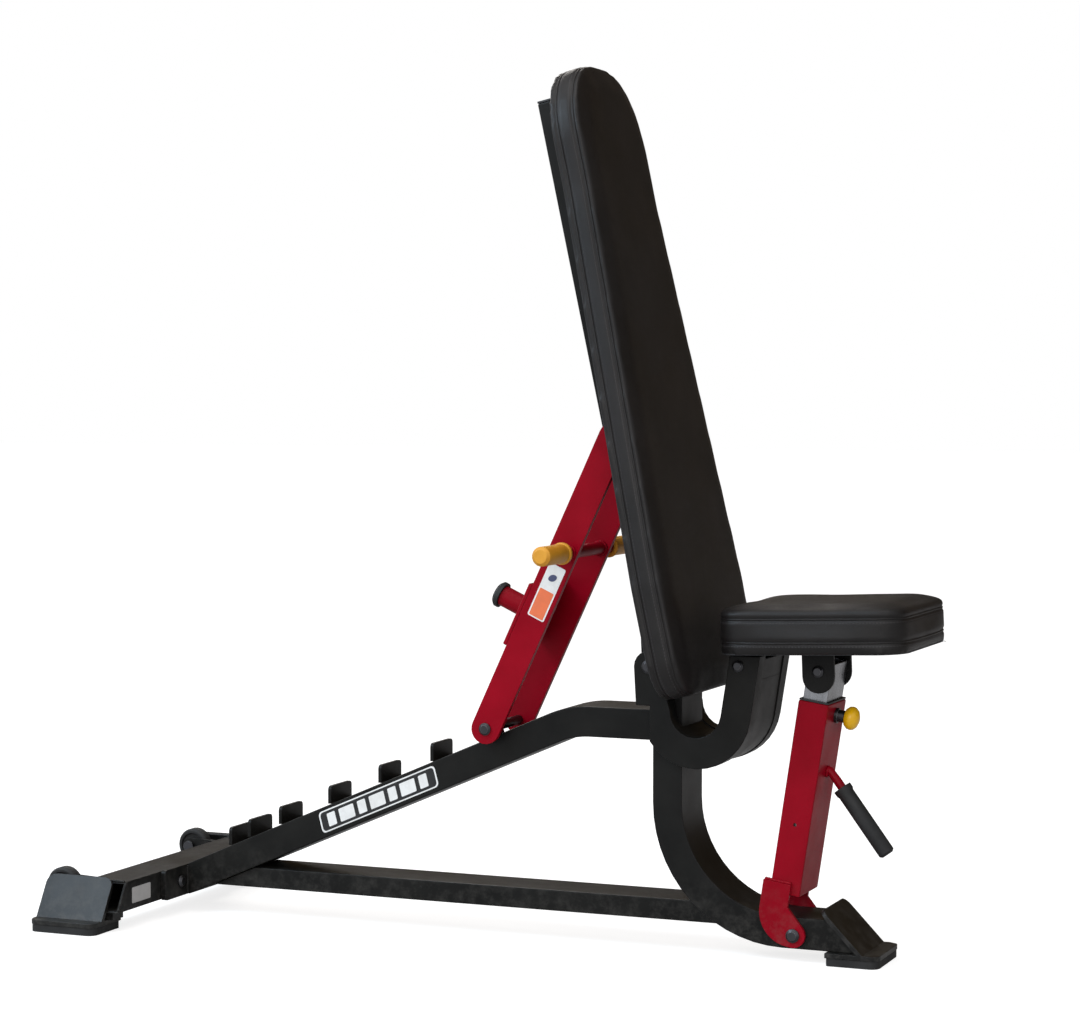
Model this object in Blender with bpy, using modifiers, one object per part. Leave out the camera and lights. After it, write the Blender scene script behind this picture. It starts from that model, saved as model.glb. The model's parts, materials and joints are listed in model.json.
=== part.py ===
"""Adjustable weight bench: a ladder-back frame with a telescoping seat post.

Metres, +Z up, +X towards the seat end, Y across.  Every fixed part is modelled
in frame coordinates measured from the leg, and the whole bench hangs from one
empty that puts the origin on the floor under the middle of its length.  The
moving groups are modelled in the frame of the empty that sits on their axis.
"""
import math

import bmesh
import bpy
from mathutils import Matrix, Vector

# ---------------------------------------------------------------- dimensions
GAP = 0.0003            # running gap between touching parts
WALL = 0.003            # wall of the steel tubes
TUBE = 0.043            # narrow side of the main tube
HALF = 0.043            # half of the wide side of the main tube
ORIGIN_X = 0.3045       # frame coordinates to the middle of the bench

# rear stabilizer
STAB_REAR, STAB_FRONT = -0.868, -0.8035
STAB_LOW, STAB_TOP = 0.0275, 0.0705
FLANGE_THICK = 0.008
FLANGE_HALF = 0.108
FLANGE_BOLT_Y = 0.063

# main beam: a slope, a bend and a short level run
BEAM_SLOPE = math.radians(23.3)
BEAM_START_X = STAB_FRONT + FLANGE_THICK + 2 * GAP
BEAM_START_Z = 0.049
BEAM_LEVEL_Z = 0.316
BEAM_BEND_R = 0.13

# leg: straight down, a quarter turn, then level to the front foot
LEG_X = -0.030
LEG_TOP_Z = 0.372
LEG_R = 0.1685
LEG_LEVEL_Z = 0.0393
LEG_ARC_CX = LEG_X + LEG_R
LEG_ARC_CZ = LEG_LEVEL_Z + LEG_R

# lower brace
BRACE_LOW, BRACE_TOP = 0.043, 0.073
BRACE_HALF = 0.038

# feet: a flange on a rubber pad with a plate sloping up over the tube's end
FOOT_HALF = 0.055
FOOT_PAD_THICK = 0.0107
FOOT_FLANGE_LOW, FOOT_FLANGE_TOP = 0.011, 0.0175
FOOT_DEPTH = 0.0755
FOOT_LIP = 0.0225
FOOT_PLATE_THICK = 0.006
FOOT_PLATE_TOP = 0.076
FRONT_FOOT_EDGE = 0.277
REAR_FOOT_EDGE = 0.265
REAR_FOOT_X = -0.877
FRONT_FOOT_SLOPE = math.radians(46.0)
REAR_FOOT_SLOPE = math.radians(60.0)

# transport wheels
WHEEL_X, WHEEL_Y, WHEEL_Z = -0.915, 0.191, 0.0577
WHEEL_R, WHEEL_WIDTH = 0.026, 0.021

# ladder on the sloping beam
TAB_X = (-0.7265, -0.6945, -0.6425, -0.5605, -0.4785, -0.3950)
TAB_HALF, TAB_HEIGHT, TAB_THICK = 0.034, 0.0275, 0.005
STOP_X, STOP_HEIGHT = -0.3125, 0.0100

# yoke: two U-shaped box plates either side of the leg, with a web between
YOKE_CX, YOKE_CZ = 0.020, 0.341
YOKE_OUTER_R, YOKE_INNER_R = 0.080, 0.037
YOKE_OUT, YOKE_IN = 0.070, HALF + GAP
YOKE_TOP_Z = 0.420
YOKE_LEAN = math.radians(9.0)
WEB_TOP_Z, WEB_LIP_Z = 0.386, 0.414

# pivots (frame coordinates, x and z)
BACK_PIVOT = (-0.048, 0.400)
SEAT_PIVOT = (0.082, 0.406)
POST_PIVOT = (0.155, 0.037)
BACK_LEAN = math.radians(12.2)
SEAT_RISE = math.radians(2.1)
POST_LEAN = math.radians(8.6)

# backrest, in the frame of its pivot: z up the back, x out of the pad
BACK_TUBE_X = 0.013
BACK_TUBE_LOW, BACK_TUBE_TOP = 0.0435, 0.8035
CROSS_THICK, CROSS_HALF, CROSS_TALL = 0.0045, 0.095, 0.05
CROSS_HEIGHTS = (0.12, 0.62)
BACK_PAD_REAR, BACK_PAD_FRONT = 0.0350, 0.083
BOARD_THICK = 0.012
BACK_PAD_LOW, BACK_PAD_HIGH = -0.052, 0.843
BACK_HALF_WIDE, BACK_HALF_NARROW = 0.176, 0.130
BACK_TAPER_LOW, BACK_TAPER_HIGH = 0.110, 0.670
BACK_CORNER_LOW, BACK_CORNER_HIGH = 0.050, 0.102

# support arm, in the frame of its pivot: z towards the pivot, x forwards
ARM_PIVOT_IN_BACK = (BACK_TUBE_X, 0.321)
LADDER_PIN = (-0.297, 0.301)
ARM_IN, ARM_OUT = 0.057, 0.065
PIN_R = 0.007
BAR_X, BAR_Z = 0.008, -0.1745
BAR_R = 0.009
GRIP_IN, GRIP_OUT, GRIP_R = 0.088, 0.168, 0.0137
ARM_WEB_LOW, ARM_WEB_HIGH = -0.336, -0.240
ARM_WEB_THICK = 0.006
BUMPER_Z, BUMPER_END = -0.290, -0.078
BUMPER_R, BUMPER_CAP_R = 0.015, 0.019

# seat, in the frame of its hinge
RAIL_TOP, RAIL_THICK = 0.0192, 0.005
SEAT_BACK_X, SEAT_FRONT_X = -0.020, 0.2515
RAIL_BACK_X, RAIL_FRONT_X = -0.007, 0.200
SEAT_HALF = 0.130
SEAT_CORNER = 0.038
SEAT_LOW, SEAT_TOP = 0.0195, 0.085
SEAT_EAR_IN, SEAT_EAR_OUT = 0.0388, 0.044
SEAT_LINK = (0.1054, -0.0097)

# seat post, in the frame of its lower pivot: z up the tube, x forwards
POST_X = -0.022
POST_LOW, POST_TOP = 0.052, 0.321
POST_HALF = 0.0438
CLEVIS_IN, CLEVIS_OUT = 0.0434, 0.0494
INNER_DEPTH_HALF, INNER_WIDE_HALF = 0.0172, 0.0382
INNER_LOW, INNER_HIGH = 0.110, 0.3755
LINK_Z = 0.364
BUSH_LOW, BUSH_HIGH = 0.290, 0.3235
KNOB_Z = 0.303
HANDLE_START = (0.024, 0.206)
HANDLE_END = (0.1015, 0.1285)
HANDLE_R, HANDLE_GRIP_R = 0.006, 0.0115

# round holes and bolts
BOLT_R = 0.006
SMALL_BOLT_R = 0.005
HOLE_SLACK = 0.0003

# colours: (red, green, blue), roughness, metallic
BLACK_PAINT = ((0.020, 0.021, 0.022), 0.45, 0.3)
RED_PAINT = ((0.42, 0.008, 0.022), 0.35, 0.1)
LEATHER = ((0.012, 0.011, 0.011), 0.42, 0.0)
RUBBER = ((0.015, 0.015, 0.015), 0.8, 0.0)
YELLOW = ((0.80, 0.42, 0.04), 0.5, 0.0)
BRIGHT_STEEL = ((0.62, 0.63, 0.65), 0.28, 1.0)
DARK_STEEL = ((0.10, 0.10, 0.11), 0.35, 0.9)
BLACK_PLASTIC = ((0.018, 0.018, 0.019), 0.5, 0.0)
WOOD = ((0.45, 0.30, 0.16), 0.7, 0.0)

# ------------------------------------------------------------------- helpers
for old in list(bpy.data.objects):
    bpy.data.objects.remove(old, do_unlink=True)

parts = bpy.data.collections.new("weight_bench")
tools = bpy.data.collections.new("cutters")
bpy.context.scene.collection.children.link(parts)
bpy.context.scene.collection.children.link(tools)

AXES = {
    "X": Matrix(((0, 0, 1, 0), (1, 0, 0, 0), (0, 1, 0, 0), (0, 0, 0, 1))),
    "Y": Matrix(((1, 0, 0, 0), (0, 0, -1, 0), (0, 1, 0, 0), (0, 0, 0, 1))),
    "Z": Matrix.Identity(4),
}


def material(name, look):
    """A Principled material with the part's own colour and finish."""
    colour, roughness, metallic = look
    mat = bpy.data.materials.new(name)
    mat.use_nodes = True
    shader = mat.node_tree.nodes["Principled BSDF"]
    shader.inputs["Base Color"].default_value = (*colour, 1.0)
    shader.inputs["Roughness"].default_value = roughness
    shader.inputs["Metallic"].default_value = metallic
    mat.diffuse_color = (*colour, 1.0)
    return mat


def empty(name, x, z, y=0.0, turn=0.0, parent=None):
    """A pivot empty; turn leans the group's z axis towards +X."""
    pivot = bpy.data.objects.new(name, None)
    pivot.location = (x, y, z)
    pivot.rotation_euler = (0.0, turn, 0.0)
    pivot.parent = parent
    parts.objects.link(pivot)
    return pivot


def add_part(name, mesh, look, parent, smooth=False):
    """Link a mesh as one sub-part under its pivot."""
    obj = bpy.data.objects.new(name, mesh)
    mesh.materials.clear()
    mesh.materials.append(material(name, look))
    if smooth:
        mesh.shade_smooth()
        mesh.set_sharp_from_angle(angle=math.radians(35))
    obj.parent = parent
    parts.objects.link(obj)
    return obj


def add_tool(name, mesh, parent=None):
    """Link a mesh that only cuts or joins another one."""
    obj = bpy.data.objects.new(name, mesh)
    obj.parent = parent
    obj.hide_render = True
    obj.display_type = "WIRE"
    tools.objects.link(obj)
    return obj


def combine(obj, mesh, operation="DIFFERENCE"):
    """Cut a mesh out of obj, or join it on."""
    tool = add_tool(obj.name + "_tool", mesh, obj.parent)
    tool.matrix_parent_inverse = obj.matrix_parent_inverse
    tool.location = obj.location
    tool.rotation_euler = obj.rotation_euler
    mod = obj.modifiers.new("shape", "BOOLEAN")
    mod.operation = operation
    mod.solver = "EXACT"
    mod.object = tool


def soften(obj, width, segments=2, angle=40.0):
    """Round the sharp edges of obj."""
    mod = obj.modifiers.new("edges", "BEVEL")
    mod.width = width
    mod.segments = segments
    mod.limit_method = "ANGLE"
    mod.angle_limit = math.radians(angle)
    mod.use_clamp_overlap = True


def prism(name, loops, low, high, axis):
    """A flat outline with holes, swept from low to high along an axis.

    Along Y the outline is (x, z), along X it is (y, z), along Z it is (x, y).
    """
    curve = bpy.data.curves.new(name, "CURVE")
    curve.dimensions = "2D"
    curve.fill_mode = "BOTH"
    curve.extrude = (high - low) / 2
    for loop in loops:
        spline = curve.splines.new("POLY")
        spline.points.add(len(loop) - 1)
        for point, (a, b) in zip(spline.points, loop):
            point.co = (a, b, 0.0, 1.0)
        spline.use_cyclic_u = True
    holder = bpy.data.objects.new(name, curve)
    bpy.context.scene.collection.objects.link(holder)
    graph = bpy.context.evaluated_depsgraph_get()
    mesh = bpy.data.meshes.new_from_object(holder.evaluated_get(graph))
    bpy.data.objects.remove(holder, do_unlink=True)
    middle = (low + high) / 2
    shift = {"X": (middle, 0, 0), "Y": (0, middle, 0), "Z": (0, 0, middle)}[axis]
    mesh.transform(Matrix.Translation(shift) @ AXES[axis])
    shape = bmesh.new()
    shape.from_mesh(mesh)
    bmesh.ops.remove_doubles(shape, verts=shape.verts, dist=0.00001)
    bmesh.ops.recalc_face_normals(shape, faces=shape.faces)
    shape.to_mesh(mesh)
    shape.free()
    return mesh


def block(name, x, y, z):
    """A box between two corners given as (low, high) pairs."""
    shape = bmesh.new()
    bmesh.ops.create_cube(shape, size=1.0)
    for vert in shape.verts:
        vert.co.x = x[0] if vert.co.x < 0 else x[1]
        vert.co.y = y[0] if vert.co.y < 0 else y[1]
        vert.co.z = z[0] if vert.co.z < 0 else z[1]
    mesh = bpy.data.meshes.new(name)
    shape.to_mesh(mesh)
    shape.free()
    return mesh


def rod(name, radius, start, end, segments=24):
    """A solid cylinder between two points."""
    start, end = Vector(start), Vector(end)
    shape = bmesh.new()
    turn = (end - start).to_track_quat("Z", "Y").to_matrix().to_4x4()
    place = Matrix.Translation((start + end) / 2) @ turn
    bmesh.ops.create_cone(shape, cap_ends=True, segments=segments, radius1=radius,
                          radius2=radius, depth=(end - start).length, matrix=place)
    mesh = bpy.data.meshes.new(name)
    shape.to_mesh(mesh)
    shape.free()
    return mesh


def turned(name, profile, look, parent, centre, axis, steps=20):
    """A turned part: profile is (radius, height) from top to bottom."""
    mesh = bpy.data.meshes.new(name)
    verts = [(radius, 0.0, height) for radius, height in profile]
    closed = profile[0][0] > 0.0
    edges = [(i, i + 1) for i in range(len(verts) - 1)]
    if closed:
        edges.append((len(verts) - 1, 0))
    mesh.from_pydata(verts, edges, [])
    obj = bpy.data.objects.new(name, mesh)
    mesh.materials.append(material(name, look))
    obj.parent = parent
    obj.location = centre
    obj.rotation_euler = Vector(axis).to_track_quat("Z", "Y").to_euler()
    mod = obj.modifiers.new("turn", "SCREW")
    mod.axis = "Z"
    mod.steps = steps
    mod.render_steps = steps
    mod.use_merge_vertices = True
    mod.merge_threshold = 0.00001
    mod.use_smooth_shade = True
    parts.objects.link(obj)
    return obj


def bolt(name, parent, x, z, reach, radius, look=DARK_STEEL, collars=()):
    """A cross bolt along Y: dome head, shank and nut outside +-reach.

    collars are (inner y, outer y, radius) steps on both sides of the shank.
    """
    head_r, head_h = radius * 1.6, radius * 0.9
    top = reach + head_h
    profile = [(0.0, top), (head_r * 0.62, top), (head_r, reach + head_h * 0.45), (head_r, reach)]
    for inner, outer, collar in collars:
        profile += [(radius, reach), (radius, outer), (collar, outer), (collar, inner)]
    profile += [(radius, collars[-1][0] if collars else reach)]
    profile += [(r, -h) for r, h in reversed(profile)]
    return turned(name, profile, look, parent, (x, 0.0, z), (0, 1, 0))


def circle(cx, cz, radius, count=24):
    """Points of a round hole."""
    step = 2 * math.pi / count
    return [(cx + radius * math.cos(i * step), cz + radius * math.sin(i * step)) for i in range(count)]


def arc(cx, cz, radius, start, end, count):
    """Points along an arc; angles in degrees."""
    span = math.radians(end - start)
    first = math.radians(start)
    return [(cx + radius * math.cos(first + span * i / count),
             cz + radius * math.sin(first + span * i / count)) for i in range(count + 1)]


def strip(path, half, first_slant=0.0, last_slant=0.0, grow=0.0):
    """The outline of a band of half width along a path.

    A slant slides the left corner of an end forwards and the right one
    backwards, and grow lengthens both ends.
    """
    left, right = [], []
    for i, (x, z) in enumerate(path):
        before = path[max(i - 1, 0)]
        after = path[min(i + 1, len(path) - 1)]
        along = Vector((after[0] - before[0], after[1] - before[1])).normalized()
        side = Vector((-along.y, along.x))
        shift = grow if i == len(path) - 1 else (-grow if i == 0 else 0.0)
        slant = last_slant if i == len(path) - 1 else (first_slant if i == 0 else 0.0)
        here = Vector((x, z)) + along * shift
        left.append(tuple(here + side * half + along * slant * half))
        right.append(tuple(here - side * half - along * slant * half))
    return left + right[::-1]


def rounded(corners, count=6):
    """A closed outline whose corners are (x, y, radius), given anticlockwise."""
    outline = []
    total = len(corners)
    for i, (x, y, radius) in enumerate(corners):
        here = Vector((x, y))
        back = (Vector(corners[i - 1][:2]) - here).normalized()
        ahead = (Vector(corners[(i + 1) % total][:2]) - here).normalized()
        if radius <= 0.0:
            outline.append((x, y))
            continue
        half = back.angle(ahead) / 2
        centre = here + (back + ahead).normalized() * radius / math.sin(half)
        first = here + back * radius / math.tan(half) - centre
        last = here + ahead * radius / math.tan(half) - centre
        turn = first.angle_signed(last)
        for k in range(count + 1):
            spin = Matrix.Rotation(-turn * k / count, 2)
            outline.append(tuple(centre + spin @ first))
    return outline


# ---------------------------------------------------------------- the frame
def beam_path():
    """Centre line of the main beam, from the flange to the leg."""
    run = BEAM_LEVEL_Z - BEAM_START_Z
    corner_x = BEAM_START_X + run / math.tan(BEAM_SLOPE)
    tangent = BEAM_BEND_R * math.tan(BEAM_SLOPE / 2)
    bend_cx = corner_x + tangent
    bend_cz = BEAM_LEVEL_Z - BEAM_BEND_R
    bend = arc(bend_cx, bend_cz, BEAM_BEND_R, 90 + math.degrees(BEAM_SLOPE), 90, 6)
    end_x = LEG_X - TUBE / 2 - GAP
    return [(BEAM_START_X, BEAM_START_Z)] + bend + [(end_x, BEAM_LEVEL_Z)]


def beam_top(x):
    """Height of the top of the sloping beam."""
    return BEAM_START_Z + (x - BEAM_START_X) * math.tan(BEAM_SLOPE) + TUBE / 2 / math.cos(BEAM_SLOPE)


def hollow_band(name, path, half_width, parent, look, slants=(0.0, 0.0)):
    """A rectangular tube bent along a path in the XZ plane, open at both ends."""
    outer = strip(path, TUBE / 2, *slants)
    inner = strip(path, TUBE / 2 - WALL, *slants, grow=0.002)
    obj = add_part(name, prism(name, [outer], -half_width, half_width, "Y"), look, parent)
    soften(obj, 0.0024, 2, 50)
    combine(obj, prism(name, [inner], -half_width + WALL, half_width - WALL, "Y"))
    return obj


def cross_holes(obj, points, radius, reach):
    """Bolt holes along Y through obj."""
    for x, z in points:
        combine(obj, rod("hole", radius, (x, -reach, z), (x, reach, z)))


def make_beam(root):
    hollow_band("main_beam", beam_path(), HALF, root, BLACK_PAINT, (math.tan(BEAM_SLOPE), 0.0))
    for number, x in enumerate(TAB_X, 1):
        make_tab(f"ladder_tab_{number}", x, TAB_HEIGHT, root)
    make_tab("ladder_stop", STOP_X, STOP_HEIGHT, root)


def make_tab(name, x, height, root):
    """An upright plate across the beam, with a gusset foot on its downhill side."""
    low = beam_top(x) + GAP * 1.5 + TAB_THICK / 2 * math.tan(BEAM_SLOPE)
    top = beam_top(x) + height
    corner = min(0.006, (top - low) * 0.6)
    face = rounded([(-TAB_HALF, low, 0.0), (TAB_HALF, low, 0.0),
                    (TAB_HALF, top, corner), (-TAB_HALF, top, corner)], 4)
    tab = add_part(name, prism(name, [face], x - TAB_THICK / 2, x + TAB_THICK / 2, "X"),
                   BLACK_PAINT, root)
    if height == TAB_HEIGHT:
        foot_x = x - 0.009
        foot = [(x - 0.001, low + 0.006), (foot_x, beam_top(foot_x) + GAP * 2),
                (x - 0.001, beam_top(x - 0.001) + GAP * 2)]
        combine(tab, prism(name, [foot], -0.012, 0.012, "Y"), "UNION")


def leg_path():
    """Centre line of the leg, from its top to the front foot."""
    turn = arc(LEG_ARC_CX, LEG_ARC_CZ, LEG_R, 180, 270, 14)
    toe = FRONT_FOOT_EDGE - FOOT_LIP
    end_x = toe - slope_back(LEG_LEVEL_Z, FRONT_FOOT_SLOPE) - plate_run(FRONT_FOOT_SLOPE)
    return [(LEG_X, LEG_TOP_Z)] + turn + [(end_x, LEG_LEVEL_Z)]


def slope_back(z, slope):
    """How far the outside of a foot's plate has moved in at a height."""
    return (z - FOOT_FLANGE_TOP) / math.tan(slope)


def plate_run(slope):
    """Level distance through the sloping plate and its gap."""
    return (FOOT_PLATE_THICK + 0.0005) / math.sin(slope)


def make_leg(root):
    cut = -1.0 / math.tan(FRONT_FOOT_SLOPE)
    leg = hollow_band("leg_tube", leg_path(), HALF, root, BLACK_PAINT, (0.0, cut))
    cross_holes(leg, [POST_PIVOT], BOLT_R + HOLE_SLACK, 0.06)


def make_brace(root):
    """A flat tube from the underside of the beam back to the leg's bend."""
    def beam_under(z):
        return BEAM_START_X + (z - BEAM_START_Z + TUBE / 2 / math.cos(BEAM_SLOPE)) / math.tan(BEAM_SLOPE)

    def leg_back(z):
        outer = LEG_R + TUBE / 2 + GAP * 2
        return LEG_ARC_CX - math.sqrt(outer ** 2 - (LEG_ARC_CZ - z) ** 2)

    def outline(low, high, grow):
        return [(beam_under(low) + GAP * 3 - grow, low), (leg_back(low) - GAP + grow, low),
                (leg_back((low + high) / 2) - GAP + grow, (low + high) / 2),
                (leg_back(high) - GAP + grow, high), (beam_under(high) + GAP * 3 - grow, high)]

    brace = add_part("brace_tube", prism("brace_tube", [outline(BRACE_LOW, BRACE_TOP, 0.0)],
                                         -BRACE_HALF, BRACE_HALF, "Y"), BLACK_PAINT, root)
    soften(brace, 0.0022, 2, 60)
    combine(brace, prism("brace_tube", [outline(BRACE_LOW + WALL, BRACE_TOP - WALL, 0.03)],
                         -BRACE_HALF + WALL, BRACE_HALF - WALL, "Y"))


def make_stabilizer(root):
    """The rear cross tube, cut to the slope of its feet, and its flange."""
    def reach(z):
        edge = REAR_FOOT_EDGE - FOOT_LIP - slope_back(z, REAR_FOOT_SLOPE)
        return edge - plate_run(REAR_FOOT_SLOPE)

    def outline(low, high, grow):
        return [(-reach(low) - grow, low), (reach(low) + grow, low),
                (reach(high) + grow, high), (-reach(high) - grow, high)]

    tube = add_part("stabilizer_tube",
                    prism("stabilizer_tube", [outline(STAB_LOW, STAB_TOP, 0.0)],
                          STAB_REAR, STAB_FRONT, "X"), BLACK_PAINT, root)
    soften(tube, 0.0024, 2, 50)
    combine(tube, prism("stabilizer_tube", [outline(STAB_LOW + WALL, STAB_TOP - WALL, 0.03)],
                        STAB_REAR + WALL, STAB_FRONT - WALL, "X"))
    low, high = STAB_LOW - 0.001, STAB_TOP + 0.001
    face = rounded([(-FLANGE_HALF, low, 0.006), (FLANGE_HALF, low, 0.006),
                    (FLANGE_HALF, high, 0.006), (-FLANGE_HALF, high, 0.006)], 4)
    front = STAB_FRONT + GAP + FLANGE_THICK
    flange = add_part("beam_flange", prism("beam_flange", [face], STAB_FRONT + GAP, front, "X"),
                      BLACK_PAINT, root)
    middle = (STAB_LOW + STAB_TOP) / 2
    for side, tag in ((-1, "near"), (1, "far")):
        y = side * FLANGE_BOLT_Y
        hole = rod("hole", SMALL_BOLT_R + HOLE_SLACK,
                   (STAB_REAR - 0.01, y, middle), (front + 0.01, y, middle))
        combine(flange, hole.copy())
        combine(tube, hole)
        profile = [(0.0, front + 0.0055), (0.006, front + 0.0055), (0.0088, front + 0.0025),
                   (0.0088, front + GAP), (SMALL_BOLT_R, front + GAP), (SMALL_BOLT_R, STAB_REAR - GAP),
                   (0.0088, STAB_REAR - GAP), (0.0088, STAB_REAR - 0.006), (0.0, STAB_REAR - 0.006)]
        turned(f"flange_bolt_{tag}", profile, DARK_STEEL, root, (0.0, y, middle), (1, 0, 0), 18)


def foot_mesh(name, edge, slope):
    """A foot in (outwards, height): flange, lip and sloping plate, along Y."""
    toe = edge - FOOT_LIP
    top_u = toe - slope_back(FOOT_PLATE_TOP, slope)
    normal = Vector((-math.sin(slope), -math.cos(slope))) * FOOT_PLATE_THICK
    inside_toe = toe - FOOT_PLATE_THICK / math.sin(slope)
    outline = [(edge - FOOT_DEPTH, FOOT_FLANGE_LOW), (edge, FOOT_FLANGE_LOW), (edge, FOOT_FLANGE_TOP),
               (toe, FOOT_FLANGE_TOP), (top_u, FOOT_PLATE_TOP),
               (top_u + normal.x, FOOT_PLATE_TOP + normal.y),
               (inside_toe, FOOT_FLANGE_TOP), (edge - FOOT_DEPTH, FOOT_FLANGE_TOP)]
    mesh = prism(name, [outline], -FOOT_HALF, FOOT_HALF, "Y")
    shape = bmesh.new()
    shape.from_mesh(mesh)

    def corner(edge_):
        a, b = edge_.verts[0].co, edge_.verts[1].co
        same_side = abs(a.y - b.y) < 1e-6
        at_lip = min(a.x, b.x) > edge - 1e-5
        at_top = min(a.z, b.z) > FOOT_PLATE_TOP - FOOT_PLATE_THICK
        return same_side and (at_lip or at_top)

    chosen = [edge_ for edge_ in shape.edges if corner(edge_)]
    bmesh.ops.bevel(shape, geom=chosen, offset=0.014, segments=5, profile=0.5, affect="EDGES")
    shape.to_mesh(mesh)
    shape.free()
    return mesh


def make_feet(root):
    """Front foot along +X, and the two rear feet along -Y and +Y."""
    places = (("front", FRONT_FOOT_EDGE, FRONT_FOOT_SLOPE, (0.0, 0.0), 0.0),
              ("near", REAR_FOOT_EDGE, REAR_FOOT_SLOPE, (REAR_FOOT_X, 0.0), -math.pi / 2),
              ("far", REAR_FOOT_EDGE, REAR_FOOT_SLOPE, (REAR_FOOT_X, 0.0), math.pi / 2))
    for tag, edge, slope, (x, y), turn in places:
        plate = add_part(f"foot_plate_{tag}", foot_mesh("foot", edge, slope),
                         BLACK_PAINT, root)
        plate.location = (x, y, 0.0)
        plate.rotation_euler = (0.0, 0.0, turn)
        if tag != "front":
            side = (STAB_REAR + STAB_FRONT) / 2 - REAR_FOOT_X
            side = -side if tag == "near" else side
            near_y, far_y = sorted((-side + 0.020, -side - 0.010))
            combine(plate, block("riser", (edge - FOOT_DEPTH + 0.004, edge - FOOT_LIP - 0.022),
                                 (near_y, far_y), (FOOT_FLANGE_TOP - 0.001, STAB_LOW - GAP)), "UNION")
        sole = rounded([(edge - FOOT_DEPTH + 0.001, -FOOT_HALF + 0.001, 0.005),
                        (edge - 0.001, -FOOT_HALF + 0.001, 0.013),
                        (edge - 0.001, FOOT_HALF - 0.001, 0.013),
                        (edge - FOOT_DEPTH + 0.001, FOOT_HALF - 0.001, 0.005)], 5)
        pad = add_part(f"foot_pad_{tag}", prism("pad", [sole], 0.0, FOOT_PAD_THICK, "Z"), RUBBER, root)
        pad.location = (x, y, 0.0)
        pad.rotation_euler = (0.0, 0.0, turn)
        soften(pad, 0.0015, 2, 50)


def make_wheels(root):
    """Transport wheels behind the stabilizer, each on its own bolt and tab."""
    half = WHEEL_WIDTH / 2
    for side, tag in ((-1, "near"), (1, "far")):
        inner_y = WHEEL_Y - half
        tab_out, tab_in = inner_y - 0.001, inner_y - 0.007
        tab = [(STAB_REAR - GAP, STAB_TOP - 0.002), (STAB_REAR - GAP, STAB_LOW + 0.010)]
        tab += arc(WHEEL_X, WHEEL_Z, 0.013, 270, 90, 8)
        bracket = add_part(f"wheel_bracket_{tag}",
                           prism("tab", [tab], *sorted((side * tab_in, side * tab_out)), "Y"),
                           BLACK_PAINT, root)
        cross_holes(bracket, [(WHEEL_X, WHEEL_Z)], SMALL_BOLT_R + HOLE_SLACK, 0.3)
        soften(bracket, 0.001, 1, 50)
        axle = empty(f"wheel_axle_{tag}", WHEEL_X, WHEEL_Z, side * WHEEL_Y, parent=root)
        bore = SMALL_BOLT_R + 0.0002
        profile = [(bore, half - 0.001), (0.011, half - 0.001), (0.012, half - 0.004), (0.018, half - 0.004),
                   (0.0195, half), (0.023, half), (WHEEL_R, half - 0.004), (WHEEL_R, -half + 0.004),
                   (0.023, -half), (0.0195, -half), (0.018, -half + 0.004), (0.012, -half + 0.004),
                   (0.011, -half + 0.001), (bore, -half + 0.001)]
        turned(f"wheel_{tag}", profile, RUBBER, axle, (0, 0, 0), (0, side, 0), 32)
        face = half + 0.0005
        back = tab_in - WHEEL_Y - GAP
        profile = [(0.0, face + 0.005), (0.0055, face + 0.005), (0.0085, face + 0.002), (0.0085, face),
                   (SMALL_BOLT_R, face), (SMALL_BOLT_R, back), (0.0085, back), (0.0085, back - 0.006),
                   (0.0, back - 0.006)]
        turned(f"wheel_bolt_{tag}", profile, DARK_STEEL, root,
               (WHEEL_X, side * WHEEL_Y, WHEEL_Z), (0, side, 0), 18)


def yoke_band(inset, start_angle_outer, start_angle_inner, top):
    """Outer and inner edges of the U from the leg round to the seat prong."""
    lean = math.degrees(YOKE_LEAN)
    outer_r, inner_r = YOKE_OUTER_R - inset, YOKE_INNER_R + inset
    outer = arc(YOKE_CX, YOKE_CZ, outer_r, start_angle_outer, 360 - lean, 14)
    inner = arc(YOKE_CX, YOKE_CZ, inner_r, 360 - lean, start_angle_inner, 12)
    rise_out = (top - outer[-1][1]) * math.tan(YOKE_LEAN)
    rise_in = (top - inner[0][1]) * math.tan(YOKE_LEAN)
    return outer + [(outer[-1][0] + rise_out, top), (inner[0][0] + rise_in, top)] + inner


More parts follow.
